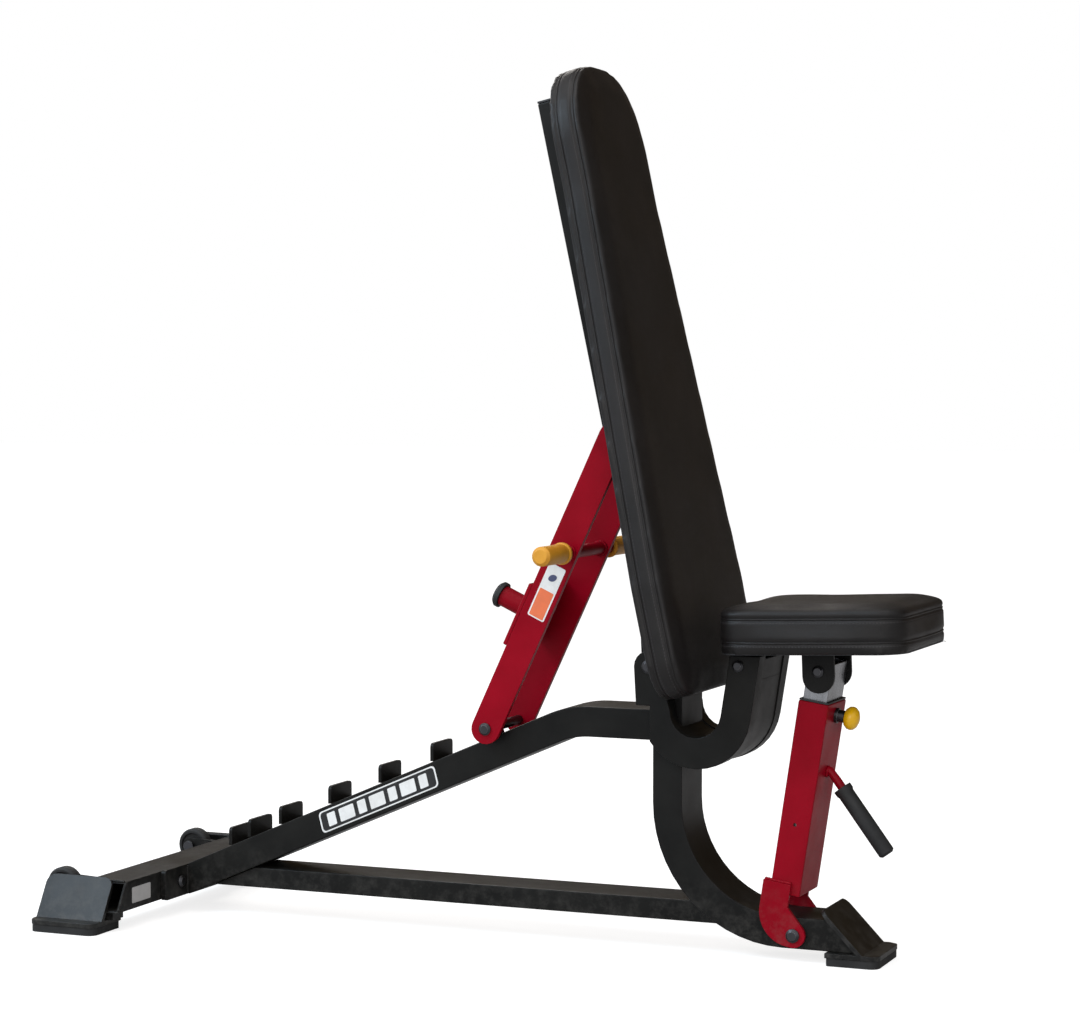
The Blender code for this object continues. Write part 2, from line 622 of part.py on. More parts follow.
def make_yoke(root):
    """Two box plates that carry the back pivot and the seat hinge, and the web."""
    bx, bz = BACK_PIVOT
    ear = 0.022
    step_x, step_z = -0.0465, 0.346
    reach = YOKE_CX - step_x
    start = 180 + math.degrees(math.acos(reach / YOKE_OUTER_R))
    outline = yoke_band(0.0, start, 180, YOKE_TOP_Z)
    outline += [(bx + ear, 0.372)] + arc(bx, bz, ear, 0, 180, 10)
    outline += [(-0.067, step_z), (step_x, step_z)]
    cavity = yoke_band(WALL, 215, 190, YOKE_TOP_Z + 0.005)
    holes = [circle(bx, bz, BOLT_R + HOLE_SLACK), circle(*SEAT_PIVOT, SMALL_BOLT_R + HOLE_SLACK, 20)]
    for side, tag in ((-1, "near"), (1, "far")):
        low, high = sorted((side * YOKE_IN, side * YOKE_OUT))
        plate = add_part(f"yoke_plate_{tag}", prism("yoke", [outline], low, high, "Y"), BLACK_PAINT, root)
        soften(plate, 0.002, 2, 50)
        combine(plate, prism("cavity", [cavity], low + WALL, high - WALL, "Y"))
        for hole in holes:
            combine(plate, prism("hole", [hole], low - 0.01, high + 0.01, "Y"))
    face_x = LEG_X + TUBE / 2 + GAP
    offset = face_x - YOKE_CX

    def meet(radius):
        return 180 + math.degrees(math.acos(-offset / radius))

    inset = 0.0015
    band = yoke_band(inset, meet(YOKE_OUTER_R - inset), meet(YOKE_INNER_R + inset), WEB_TOP_Z)
    web = add_part("yoke_web", prism("web", [band], -HALF, HALF, "Y"), BLACK_PAINT, root)
    deep = inset + WALL
    core = yoke_band(deep, meet(YOKE_OUTER_R - deep) + 6, meet(YOKE_INNER_R + deep) + 10, WEB_TOP_Z + 0.005)
    combine(web, prism("core", [core], -HALF + WALL, HALF - WALL, "Y"))

    def front_at(z):
        radius = YOKE_OUTER_R - inset
        rise = z - YOKE_CZ + radius * math.sin(YOKE_LEAN)
        return YOKE_CX + radius * math.cos(YOKE_LEAN) + rise * math.tan(YOKE_LEAN) - 0.0002

    root_z = WEB_TOP_Z - 0.004
    lip = [(front_at(root_z) - WALL, root_z), (front_at(root_z), root_z),
           (front_at(WEB_LIP_Z), WEB_LIP_Z), (front_at(WEB_LIP_Z) - WALL, WEB_LIP_Z)]
    combine(web, prism("lip", [lip], -HALF, HALF, "Y"), "UNION")
    bolt("back_pivot_bolt", root, bx, bz, YOKE_OUT + GAP, BOLT_R)
    bolt("seat_hinge_bolt", root, *SEAT_PIVOT, YOKE_OUT + GAP, SMALL_BOLT_R)
    bolt("post_pivot_bolt", root, *POST_PIVOT, CLEVIS_OUT + GAP, BOLT_R)


# -------------------------------------------------------------- the backrest
def pad_outline(low, high, narrow_in=0.0):
    """Back pad outline in (height, across), wide at the seat and narrow on top."""
    wide, narrow = BACK_HALF_WIDE - narrow_in, BACK_HALF_NARROW - narrow_in
    low_r, high_r = BACK_CORNER_LOW, BACK_CORNER_HIGH
    return rounded([(low, -wide, low_r), (BACK_TAPER_LOW, -wide, 0.15), (BACK_TAPER_HIGH, -narrow, 0.15),
                    (high, -narrow, high_r), (high, narrow, high_r), (BACK_TAPER_HIGH, narrow, 0.15),
                    (BACK_TAPER_LOW, wide, 0.15), (low, wide, low_r)], 6)


def upright_slab(name, outline, low_x, high_x):
    """A slab facing +X from an outline of (height, across)."""
    return prism(name, [[(y, z) for z, y in outline]], low_x, high_x, "X")


def make_backrest(root):
    back = empty("back_pivot", *BACK_PIVOT, turn=-BACK_LEAN, parent=root)
    rear, front = BACK_TUBE_X - TUBE / 2, BACK_TUBE_X + TUBE / 2
    tube = add_part("back_tube", block("tube", (rear, front), (-HALF, HALF), (BACK_TUBE_LOW, BACK_TUBE_TOP)),
                    BLACK_PAINT, back)
    soften(tube, 0.0024, 2, 50)
    for height in CROSS_HEIGHTS:
        combine(tube, block("cross", (front - CROSS_THICK, front - 0.0002), (-CROSS_HALF, CROSS_HALF),
                            (height, height + CROSS_TALL)), "UNION")
    combine(tube, block("bore", (rear + WALL, front - WALL), (-HALF + WALL, HALF - WALL),
                        (BACK_TUBE_LOW - 0.01, BACK_TUBE_TOP + 0.01)))
    cross_holes(tube, [ARM_PIVOT_IN_BACK], BOLT_R + HOLE_SLACK, 0.06)
    cap = add_part("back_tube_cap", block("cap", (rear + WALL + GAP, front - WALL - GAP),
                                          (-HALF + WALL + GAP, HALF - WALL - GAP),
                                          (BACK_TUBE_TOP - 0.012, BACK_TUBE_TOP + GAP * 2)),
                   BLACK_PLASTIC, back)
    combine(cap, block("rim", (rear + 0.0005, front - 0.0005), (-HALF + 0.0005, HALF - 0.0005),
                       (BACK_TUBE_TOP + GAP, BACK_TUBE_TOP + 0.003)), "UNION")
    barrel_r = 0.020
    top = BACK_TUBE_LOW - GAP
    side = [(-0.013, top)] + arc(0, 0, barrel_r, 170, 325, 14) + [(front, 0.018), (front, top)]
    lug = add_part("back_hinge_lug", prism("lug", [side], -HALF, HALF, "Y"), BLACK_PAINT, back)
    soften(lug, 0.0015, 1, 50)
    combine(lug, block("pocket", (-0.008, front - 0.005), (-HALF + 0.006, HALF - 0.006), (0.016, top + 0.01)))
    cross_holes(lug, [(0.0, 0.0)], BOLT_R + HOLE_SLACK, 0.06)
    board_front = BACK_PAD_REAR + BOARD_THICK
    board = pad_outline(BACK_PAD_LOW + 0.008, BACK_PAD_HIGH - 0.008, 0.008)
    add_part("back_board", upright_slab("board", board, BACK_PAD_REAR, board_front), WOOD, back)
    pad = add_part("back_pad", upright_slab("pad", pad_outline(BACK_PAD_LOW, BACK_PAD_HIGH),
                                            board_front + GAP, BACK_PAD_FRONT), LEATHER, back)
    soften(pad, 0.010, 3, 50)
    bolt("arm_pivot_bolt", back, *ARM_PIVOT_IN_BACK, ARM_OUT + GAP, BOLT_R,
         collars=((HALF + GAP, ARM_IN - GAP, 0.011),))
    return back


def world_of(x, z):
    """Frame coordinates of a point given in the backrest's frame."""
    sine, cosine = math.sin(BACK_LEAN), math.cos(BACK_LEAN)
    return BACK_PIVOT[0] + x * cosine - z * sine, BACK_PIVOT[1] + x * sine + z * cosine


def make_arm(back):
    """The red support arm that straddles the ladder."""
    pivot_x, pivot_z = world_of(*ARM_PIVOT_IN_BACK)
    dx, dz = pivot_x - LADDER_PIN[0], pivot_z - LADDER_PIN[1]
    length = math.hypot(dx, dz)
    lean = math.atan2(dx, dz)
    arm = empty("arm_pivot", *ARM_PIVOT_IN_BACK, turn=lean + BACK_LEAN, parent=back)
    half = TUBE / 2
    outline = arc(0, 0, half, 0, 180, 12) + arc(0, -length, half, 180, 360, 12)
    holes = [circle(0, 0, BOLT_R + HOLE_SLACK), circle(0, -length, SMALL_BOLT_R + HOLE_SLACK, 20),
             circle(BAR_X, BAR_Z, BAR_R + HOLE_SLACK)]
    for side, tag in ((-1, "near"), (1, "far")):
        plate = prism("plate", [outline] + holes, *sorted((side * ARM_IN, side * ARM_OUT)), "Y")
        add_part(f"arm_plate_{tag}", plate, RED_PAINT, arm)
    web_x = -half - GAP - ARM_WEB_THICK
    web = add_part("arm_web", block("web", (web_x, -half - GAP), (-ARM_OUT + 0.001, ARM_OUT - 0.001),
                                    (ARM_WEB_LOW, ARM_WEB_HIGH)), RED_PAINT, arm)
    soften(web, 0.001, 1, 50)
    start, end = web_x - GAP, BUMPER_END
    bore = BUMPER_R - WALL
    profile = [(0.0, start), (BUMPER_R, start), (BUMPER_R, end), (bore, end), (bore, start - 0.004),
               (0.0, start - 0.004)]
    turned("bumper_tube", profile, RED_PAINT, arm, (0, 0, BUMPER_Z), (1, 0, 0))
    profile = [(0.0, end + 0.008), (bore - GAP, end + 0.008), (bore - GAP, end - GAP),
               (BUMPER_CAP_R, end - GAP), (BUMPER_CAP_R, end - 0.006), (BUMPER_CAP_R - 0.004, end - 0.010),
               (0.0, end - 0.010)]
    turned("bumper_cap", profile, RUBBER, arm, (0, 0, BUMPER_Z), (1, 0, 0))
    bar_end = GRIP_OUT - 0.004
    add_part("grip_bar", rod("bar", BAR_R, (BAR_X, -bar_end, BAR_Z), (BAR_X, bar_end, BAR_Z), 20),
             RED_PAINT, arm, smooth=True)
    for side, tag in ((-1, "near"), (1, "far")):
        bore = BAR_R + GAP
        profile = [(0.0, GRIP_OUT), (GRIP_R * 0.7, GRIP_OUT), (GRIP_R, GRIP_OUT - 0.004),
                   (GRIP_R, GRIP_IN + 0.006), (GRIP_R + 0.002, GRIP_IN + 0.004),
                   (GRIP_R + 0.002, GRIP_IN), (bore, GRIP_IN), (bore, bar_end + GAP), (0.0, bar_end + GAP)]
        turned(f"grip_{tag}", profile, YELLOW, arm, (BAR_X, 0, BAR_Z), (0, side, 0))
    neck = ARM_IN - GAP
    outer = ARM_OUT + GAP
    profile = [(0.0, outer + 0.005), (0.006, outer + 0.005), (0.009, outer + 0.002), (0.009, outer),
               (SMALL_BOLT_R, outer), (SMALL_BOLT_R, neck), (PIN_R, neck)]
    profile += [(r, -h) for r, h in reversed(profile)]
    turned("ladder_pin", profile, DARK_STEEL, arm, (0, 0, -length), (0, 1, 0))


# ------------------------------------------------------------------ the seat
def make_seat(root):
    seat = empty("seat_pivot", *SEAT_PIVOT, turn=-SEAT_RISE, parent=root)
    low = RAIL_TOP - RAIL_THICK
    rail = add_part("seat_rail", block("rail", (RAIL_BACK_X, RAIL_FRONT_X), (-0.042, 0.042),
                                       (low, RAIL_TOP)), BLACK_PAINT, seat)
    lug = [(-0.011, low + 0.001)] + arc(0, 0, 0.011, 180, 360, 10) + [(0.030, low + 0.001)]
    combine(rail, prism("lug", [lug], -0.0425, -0.0325, "Y"), "UNION")
    combine(rail, prism("lug", [lug], 0.0325, 0.0425, "Y"), "UNION")
    cross_holes(rail, [(0.0, 0.0)], SMALL_BOLT_R + HOLE_SLACK, 0.06)
    link_x, link_z = SEAT_LINK
    ear_half, drop = 0.0225, 0.0075
    ear = [(link_x + ear_half, low + 0.001), (link_x - ear_half, low + 0.001)]
    ear += arc(link_x, link_z - drop, ear_half, 180, 360, 12)
    for side in (-1, 1):
        y_low, y_high = sorted((side * SEAT_EAR_IN, side * SEAT_EAR_OUT))
        combine(rail, prism("ear", [ear], y_low, y_high, "Y"), "UNION")
    cross_holes(rail, [SEAT_LINK], SMALL_BOLT_R + HOLE_SLACK, 0.06)
    bolt("seat_link_bolt", seat, link_x, link_z, SEAT_EAR_OUT + GAP, SMALL_BOLT_R)

    def outline(inset):
        back, front, half = SEAT_BACK_X + inset, SEAT_FRONT_X - inset, SEAT_HALF - inset
        return rounded([(back, -half, SEAT_CORNER), (front, -half, SEAT_CORNER),
                        (front, half, SEAT_CORNER), (back, half, SEAT_CORNER)], 7)

    board_top = SEAT_LOW + BOARD_THICK
    add_part("seat_board", prism("board", [outline(0.006)], SEAT_LOW, board_top, "Z"), WOOD, seat)
    pad = add_part("seat_pad", prism("pad", [outline(0.0)], board_top + GAP, SEAT_TOP, "Z"), LEATHER, seat)
    soften(pad, 0.011, 3, 50)


# ------------------------------------------------------------- the seat post
def make_post(root):
    post = empty("post_pivot", *POST_PIVOT, turn=POST_LEAN, parent=root)
    rear, front = POST_X - TUBE / 2, POST_X + TUBE / 2
    tube = add_part("post_outer", block("tube", (rear, front), (-POST_HALF, POST_HALF), (POST_LOW, POST_TOP)),
                    RED_PAINT, post)
    soften(tube, 0.0024, 2, 50)
    combine(tube, block("bore", (rear + WALL, front - WALL), (-POST_HALF + WALL, POST_HALF - WALL),
                        (POST_LOW - 0.01, POST_TOP + 0.01)))
    end = 0.017
    plate = [(-0.053, 0.068), (-0.053, 0.032)] + arc(-0.006, 0.030, 0.047, 185, 262, 8)
    plate += arc(0, 0, end, 270, 410, 10) + [(-0.0135, 0.036), (-0.0135, 0.068)]
    for side in (-1, 1):
        low, high = sorted((side * CLEVIS_IN, side * CLEVIS_OUT))
        combine(tube, prism("clevis", [plate], low, high, "Y"), "UNION")
    cross_holes(tube, [(0.0, 0.0)], BOLT_R + HOLE_SLACK, 0.06)
    combine(tube, rod("hole", 0.0045, (front - 0.01, 0, KNOB_Z), (front + 0.01, 0, KNOB_Z)))
    combine(tube, rod("hole", 0.0025, (POST_X, -0.06, 0.150), (POST_X, -0.03, 0.150), 12))

    bush = add_part("post_guide_bush", block("bush", (rear + WALL + GAP, front - WALL - GAP),
                                             (-POST_HALF + WALL + GAP, POST_HALF - WALL - GAP),
                                             (BUSH_LOW, POST_TOP + GAP)), BLACK_PLASTIC, post)
    combine(bush, block("rim", (rear + 0.001, front - 0.001), (-POST_HALF + 0.001, POST_HALF - 0.001),
                        (POST_TOP + GAP, BUSH_HIGH)), "UNION")
    combine(bush, block("bore", (POST_X - INNER_DEPTH_HALF - GAP, POST_X + INNER_DEPTH_HALF + GAP),
                        (-INNER_WIDE_HALF - GAP, INNER_WIDE_HALF + GAP),
                        (BUSH_LOW - 0.01, BUSH_HIGH + 0.01)))
    combine(bush, rod("hole", 0.0045, (POST_X, 0, KNOB_Z), (front + 0.01, 0, KNOB_Z)))

    slide = empty("post_slide", POST_X, 0.0, parent=post)
    inner = add_part("post_inner", block("inner", (-INNER_DEPTH_HALF, INNER_DEPTH_HALF),
                                         (-INNER_WIDE_HALF, INNER_WIDE_HALF), (INNER_LOW, INNER_HIGH)),
                     BRIGHT_STEEL, slide)
    soften(inner, 0.0018, 2, 50)
    thin = 0.0025
    combine(inner, block("bore", (-INNER_DEPTH_HALF + thin, INNER_DEPTH_HALF - thin),
                         (-INNER_WIDE_HALF + thin, INNER_WIDE_HALF - thin),
                         (INNER_LOW - 0.01, INNER_HIGH + 0.01)))
    cross_holes(inner, [(0.0, LINK_Z)], SMALL_BOLT_R + 0.0025, 0.06)
    for index in range(4):
        height = KNOB_Z - index * 0.020
        combine(inner, rod("hole", 0.005, (0.005, 0, height), (0.03, 0, height), 20))

    make_handle(post)
    make_plunger(post, front)


def make_handle(post):
    """The carrying handle on the front of the post."""
    start, end = Vector((HANDLE_START[0], 0, HANDLE_START[1])), Vector((HANDLE_END[0], 0, HANDLE_END[1]))
    along = (end - start).normalized()
    face = POST_X + TUBE / 2 + GAP
    curve = bpy.data.curves.new("handle_rod", "CURVE")
    curve.dimensions = "3D"
    curve.bevel_depth = HANDLE_R
    curve.bevel_resolution = 3
    curve.use_fill_caps = True
    root_z = start.z + (start.x - face) * 0.80
    points = [Vector((face, 0, root_z)), Vector((face + 0.004, 0, root_z)), start - along * 0.012,
              start, end - along * 0.004]
    spline = curve.splines.new("POLY")
    spline.points.add(len(points) - 1)
    for point, place in zip(spline.points, points):
        point.co = (*place, 1.0)
    holder = bpy.data.objects.new("handle_curve", curve)
    bpy.context.scene.collection.objects.link(holder)
    graph = bpy.context.evaluated_depsgraph_get()
    mesh = bpy.data.meshes.new_from_object(holder.evaluated_get(graph))
    bpy.data.objects.remove(holder, do_unlink=True)
    shape = bmesh.new()
    shape.from_mesh(mesh)
    bmesh.ops.remove_doubles(shape, verts=shape.verts, dist=0.00001)
    bmesh.ops.recalc_face_normals(shape, faces=shape.faces)
    shape.to_mesh(mesh)
    shape.free()
    add_part("handle_rod", mesh, RED_PAINT, post, smooth=True)
    length = (end - start).length
    bore = HANDLE_R + GAP
    profile = [(0.0, length), (HANDLE_GRIP_R * 0.7, length), (HANDLE_GRIP_R, length - 0.003)]
    profile += [(HANDLE_GRIP_R, 0.010), (HANDLE_GRIP_R + 0.0015, 0.007), (HANDLE_GRIP_R + 0.0015, 0.0),
                (bore, 0.0), (bore, length - 0.004 + GAP), (0.0, length - 0.004 + GAP)]
    turned("handle_grip", profile, RUBBER, post, tuple(start), tuple(along), 20)


def make_plunger(post, front):
    """The pull pin: a threaded housing, and the plunger with its knob."""
    housing = front + GAP
    profile = [(0.0046, housing + 0.013), (0.0085, housing + 0.013), (0.0085, housing + 0.004),
               (0.0105, housing + 0.004), (0.0105, housing), (0.0046, housing)]
    turned("plunger_housing", profile, DARK_STEEL, post, (0, 0, KNOB_Z), (1, 0, 0), 20)
    pull = empty("plunger_axis", 0.0, KNOB_Z, parent=post)
    knob = housing + 0.0145
    tip = front - WALL
    profile = [(0.0, knob + 0.019), (0.006, knob + 0.0185), (0.012, knob + 0.016), (0.0155, knob + 0.012),
               (0.0165, knob + 0.0085), (0.0155, knob + 0.004), (0.012, knob), (0.0040, knob),
               (0.0040, tip + 0.001), (0.003, tip), (0.0, tip)]
    turned("pull_knob", profile, YELLOW, pull, (0, 0, 0), (1, 0, 0))


bench = empty("bench_origin", ORIGIN_X, 0.0)
make_beam(bench)
make_leg(bench)
make_brace(bench)
make_stabilizer(bench)
make_feet(bench)
make_wheels(bench)
make_yoke(bench)
back_group = make_backrest(bench)
make_arm(back_group)
make_seat(bench)
make_post(bench)
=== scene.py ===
"""Looks of the adjustable weight bench: padding, finishes, welds and labels.

Everything is in metres in the CAD frame: +X towards the seat end, +Z up.
"""
import json
import math
import random

import bmesh
import bpy
from mathutils import Matrix, Vector


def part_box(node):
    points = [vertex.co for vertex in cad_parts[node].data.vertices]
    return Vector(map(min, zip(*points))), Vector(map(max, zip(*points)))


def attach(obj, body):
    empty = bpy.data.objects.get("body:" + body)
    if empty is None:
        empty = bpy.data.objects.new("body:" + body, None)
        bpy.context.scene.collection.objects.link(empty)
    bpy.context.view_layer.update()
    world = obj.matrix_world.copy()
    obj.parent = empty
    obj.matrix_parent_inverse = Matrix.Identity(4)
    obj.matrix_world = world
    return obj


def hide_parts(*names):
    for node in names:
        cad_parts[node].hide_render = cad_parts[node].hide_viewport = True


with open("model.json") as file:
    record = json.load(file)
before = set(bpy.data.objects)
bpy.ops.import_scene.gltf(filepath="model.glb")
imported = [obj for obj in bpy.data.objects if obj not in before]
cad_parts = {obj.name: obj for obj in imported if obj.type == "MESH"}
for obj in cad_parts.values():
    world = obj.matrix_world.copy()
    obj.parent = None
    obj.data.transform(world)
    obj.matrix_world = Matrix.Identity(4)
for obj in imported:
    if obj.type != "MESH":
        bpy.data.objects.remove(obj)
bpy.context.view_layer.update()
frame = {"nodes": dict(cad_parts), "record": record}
nodes = frame["nodes"]
joints = {joint["name"]: joint for joint in frame["record"]["behaviour"]["joints"]}

# ------------------------------------------------------------ driving values
# Leans of the parts at rest; the seat and the beam are measured from level, the others from upright.
BACK_LEAN, POST_LEAN = math.radians(12.2), math.radians(8.6)
SEAT_RISE, BEAM_SLOPE = math.radians(2.1), math.radians(23.3)

# The frame: depth of its main tubes, half its width, and its ladder tabs.
TUBE, FRAME_HALF = 0.043, 0.043
TAB_HEIGHT, TAB_HALF_THICK = 0.0275, 0.0025
CROSS_SCREW_HEIGHTS = (0.145, 0.645)

# Padding: the filling starts small and is swelled, evened and capped.
VINYL_SHRINK, PAD_HEADROOM, BOARD_EDGE = 0.004, 0.0045, 0.0006
FLAT_RIM, HELD_RIM = 0.002, 0.0035
VOXEL, RELAX_STEPS = 0.0052, 7
PRESSURE, SWELL_FRAMES, CLOTH_STIFFNESS = 4.0, 20, 40.0
SWELL_CAP, SWELL_EVEN = 0.0065, 12
GROOVE_WIDTH, GROOVE_DEPTH = 0.0058, 0.0018
OUTLINE_STEP, WELT_R = 0.004, 0.0016
STITCH_PITCH, STITCH_OFFSET = 0.0046, 0.0048
THREAD_R, THREAD_END_R = 0.0005, 0.0001
STAPLE_PITCH, STAPLE_INSET, STAPLE_HALF, STAPLE_WIRE_R = 0.034, 0.010, 0.0055, 0.0004

# Welds
WELD_R, TAB_WELD_R, ARM_WELD_R, ROD_WELD_R = 0.0022, 0.0018, 0.0024, 0.0020
RIPPLE_PITCH, YOKE_WELD_R = 0.0013, 0.0808

# Labels: thickness of a label and of what is printed on it, and the badge's bars.
LABEL_LIFT, PRINT_LIFT = 0.00025, 0.0002
BADGE_LEAN, BADGE_BARS_START = 0.15, -0.0905
BADGE_BARS = (0.018, 0.030, 0.018, 0.030, 0.018, 0.030, 0.018)

# Shading: faces that meet under this angle are shaded as one round stretch.
FACET_ANGLE, CREASE_ANGLE = math.radians(34), math.radians(45)

# Surroundings: the world is bright, but dim and warm towards DIM_SIDE.
WORLD_BRIGHT, WORLD_DIM = (0.95, 0.96, 1.0), (0.075, 0.052, 0.030)
DIM_SIDE, DIM_EDGE, DIM_CORE = (0.24, 0.97, 0.05), -0.15, 0.75
FLOOR_GLOW = 0.78
PANELS = (  # name, place, width and height, power, colour
    ("key", (-1.75, -1.75, 2.45), (1.3, 1.1), 52.0, (0.66, 0.84, 1.0)),
    ("side", (1.2, -3.4, 1.6), (1.6, 1.8), 26.0, (1.0, 0.97, 0.94)),
    ("rim", (-1.8, 2.6, 2.4), (2.0, 1.2), 26.0, (1.0, 0.96, 0.92)),
    ("top", (0.4, -0.4, 3.6), (2.2, 2.2), 26.0, (1.0, 0.96, 0.92)),
)
CAMERA_SPOT, CAMERA_LENS = (1.5741, -3.6240, 0.7837), 91.64
CAMERA_TILT, CAMERA_TURN = math.radians(87.47), math.radians(22.61)
random.seed(11)


# -------------------------------------------------------------------- places
def joint_point(name):
    """Where a joint's axis passes, as a vector."""
    return Vector(joints[name]["pos_m"])


def place(origin, turn):
    """A frame at origin whose z axis leans towards +X by turn."""
    return Matrix.Translation(origin) @ Matrix.Rotation(turn, 4, "Y")


def middle(node):
    """Centre of a CAD node's box."""
    low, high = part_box(node)
    return (Vector(low) + Vector(high)) / 2


BACK = place(joint_point("backrest_recline"), -BACK_LEAN)
SEAT = place(joint_point("seat_tilt"), -SEAT_RISE)
POST = place(joint_point("post_swing"), POST_LEAN)
arm_top, arm_pin = joint_point("arm_swing"), middle("ladder_pin")
ARM_LEAN = math.atan2(arm_top.x - arm_pin.x, arm_top.z - arm_pin.z)
ARM = place(arm_top, ARM_LEAN)
first_tab, last_tab = middle("ladder_tab_1"), middle("ladder_tab_6")
BEAM = place((first_tab + last_tab) / 2, -BEAM_SLOPE)
UPRIGHT = Matrix.Identity(4)


def local_box(node, matrix):
    """Lowest and highest corner of a CAD node in a leaning frame."""
    turned = [matrix.inverted() @ vert.co for vert in nodes[node].data.vertices]
    low = Vector([min(point[i] for point in turned) for i in range(3)])
    high = Vector([max(point[i] for point in turned) for i in range(3)])
    return low, high


def local_middle(node, matrix):
    """Centre of a CAD node's box in a leaning frame."""
    low, high = local_box(node, matrix)
    return (low + high) / 2


def beam_top(x):
    """Height of the top of the sloping beam, worked out from its first tab."""
    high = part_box("ladder_tab_1")[1]
    return high[2] - TAB_HEIGHT + (x - (high[0] - TAB_HALF_THICK)) * math.tan(BEAM_SLOPE)


# ---------------------------------------------------------- material helpers
class Look:
    """A node material with short calls for its usual parts."""

    def __init__(self, name, roughness, metallic=0.0):
        self.mat = bpy.data.materials.new(name)
        self.mat.use_nodes = True
        self.nodes = self.mat.node_tree.nodes
        self.links = self.mat.node_tree.links
        self.shader = self.nodes["Principled BSDF"]
        self.shader.inputs["Roughness"].default_value = roughness
        self.shader.inputs["Metallic"].default_value = metallic
        self.coords = self.nodes.new("ShaderNodeTexCoord").outputs["Object"]

    def node(self, kind, inputs=(), **settings):
        """A new node; an input that is a socket is linked, any other is set."""
        made = self.nodes.new(kind)
        for key, value in settings.items():
            setattr(made, key, value)
        for key, value in dict(inputs).items():
            if isinstance(value, bpy.types.NodeSocket):
                self.links.new(value, made.inputs[key])
            else:
                made.inputs[key].default_value = value
        return made

    def noise(self, scale, detail=3.0, rough=0.5, coords=None):
        return self.node("ShaderNodeTexNoise", {"Vector": coords or self.coords, "Scale": scale,
                                                "Detail": detail, "Roughness": rough}).outputs["Fac"]

    def cells(self, scale):
        """Distance to the edges of small cells."""
        return self.node("ShaderNodeTexVoronoi", {"Vector": self.coords, "Scale": scale},
                         feature="DISTANCE_TO_EDGE").outputs["Distance"]

    def stretched(self, scale):
        return self.node("ShaderNodeMapping", {"Vector": self.coords, "Scale": scale}).outputs["Vector"]

    def ramp(self, factor, low, high, start=0.0, end=1.0):
        """Maps factor from start..end onto the two numbers, clamped."""
        made = self.node("ShaderNodeMapRange", {"Value": factor, "From Min": start, "From Max": end,
                                                "To Min": low, "To Max": high})
        return made.outputs["Result"]

    def blend(self, factor, first, second):
        """Mixes two colours, or the colours of two sockets."""
        made = self.node("ShaderNodeMix", {"Factor": factor}, data_type="RGBA")
        for socket, value in ((made.inputs[6], first), (made.inputs[7], second)):
            if isinstance(value, bpy.types.NodeSocket):
                self.links.new(value, socket)
            else:
                socket.default_value = (*value, 1.0)
        return made.outputs[2]

    def maths(self, operation, first, second):
        return self.node("ShaderNodeMath", {0: first, 1: second}, operation=operation).outputs[0]

    def set(self, name, value):
        if isinstance(value, bpy.types.NodeSocket):
            self.links.new(value, self.shader.inputs[name])
        else:
            self.shader.inputs[name].default_value = value

    def bump(self, height, strength, distance=0.001, under=None):
        inputs = {"Height": height, "Strength": strength, "Distance": distance}
        if under is not None:
            inputs["Normal"] = under
        return self.node("ShaderNodeBump", inputs).outputs["Normal"]

    def rounded_edge(self, radius):
        """A soft-edged normal, and how close the surface is to an edge."""
        soft = self.node("ShaderNodeBevel", {"Radius": radius}, samples=6).outputs["Normal"]
        flat = self.node("ShaderNodeNewGeometry").outputs["Normal"]
        dot = self.node("ShaderNodeVectorMath", {0: soft, 1: flat}, operation="DOT_PRODUCT")
        return soft, self.ramp(dot.outputs["Value"], 1.0, 0.0, 0.80, 0.995)


def powder_coat(name, deep, light, worn, roughness, gloss):
    """Sprayed enamel: orange peel, fine speckle, rubbed edges and low dust."""
    look = Look(name, roughness)
    soft, edge = look.rounded_edge(0.0013)
    tone = look.ramp(look.noise(14.0, 4.0), 0.0, 1.0, 0.35, 0.68)
    colour = look.blend(tone, deep, light)
    speckle = look.ramp(look.noise(1500.0, 1.0), 0.0, 0.30, 0.62, 0.75)
    colour = look.blend(speckle, colour, light)
    chips = look.ramp(look.noise(230.0, 5.0, 0.65), 0.0, 1.0, 0.55, 0.63)
    rubbed = look.maths("MULTIPLY", edge, chips)
    colour = look.blend(look.maths("MULTIPLY", rubbed, 0.75), colour, worn)
    height = look.node("ShaderNodeSeparateXYZ", {0: look.coords}).outputs["Z"]
    low = look.ramp(height, 0.30, 0.0, 0.0, 0.12)
    dust = look.maths("MULTIPLY", low, look.ramp(look.noise(60.0, 6.0, 0.7), 0.0, 1.0, 0.45, 0.75))
    look.set("Base Color", look.blend(dust, colour, (0.16, 0.15, 0.135)))
    smudge = look.ramp(look.noise(9.0, 5.0, 0.6), roughness - 0.07, roughness + 0.10, 0.3, 0.7)
    look.set("Roughness", look.maths("ADD", smudge, look.maths("MULTIPLY", dust, 0.5)))
    look.set("Specular IOR Level", gloss)
    peel = look.bump(look.noise(420.0, 2.0), 0.10, 0.0004, soft)
    look.set("Normal", look.bump(look.noise(60.0, 2.0), 0.08, 0.0006, peel))
    return look.mat


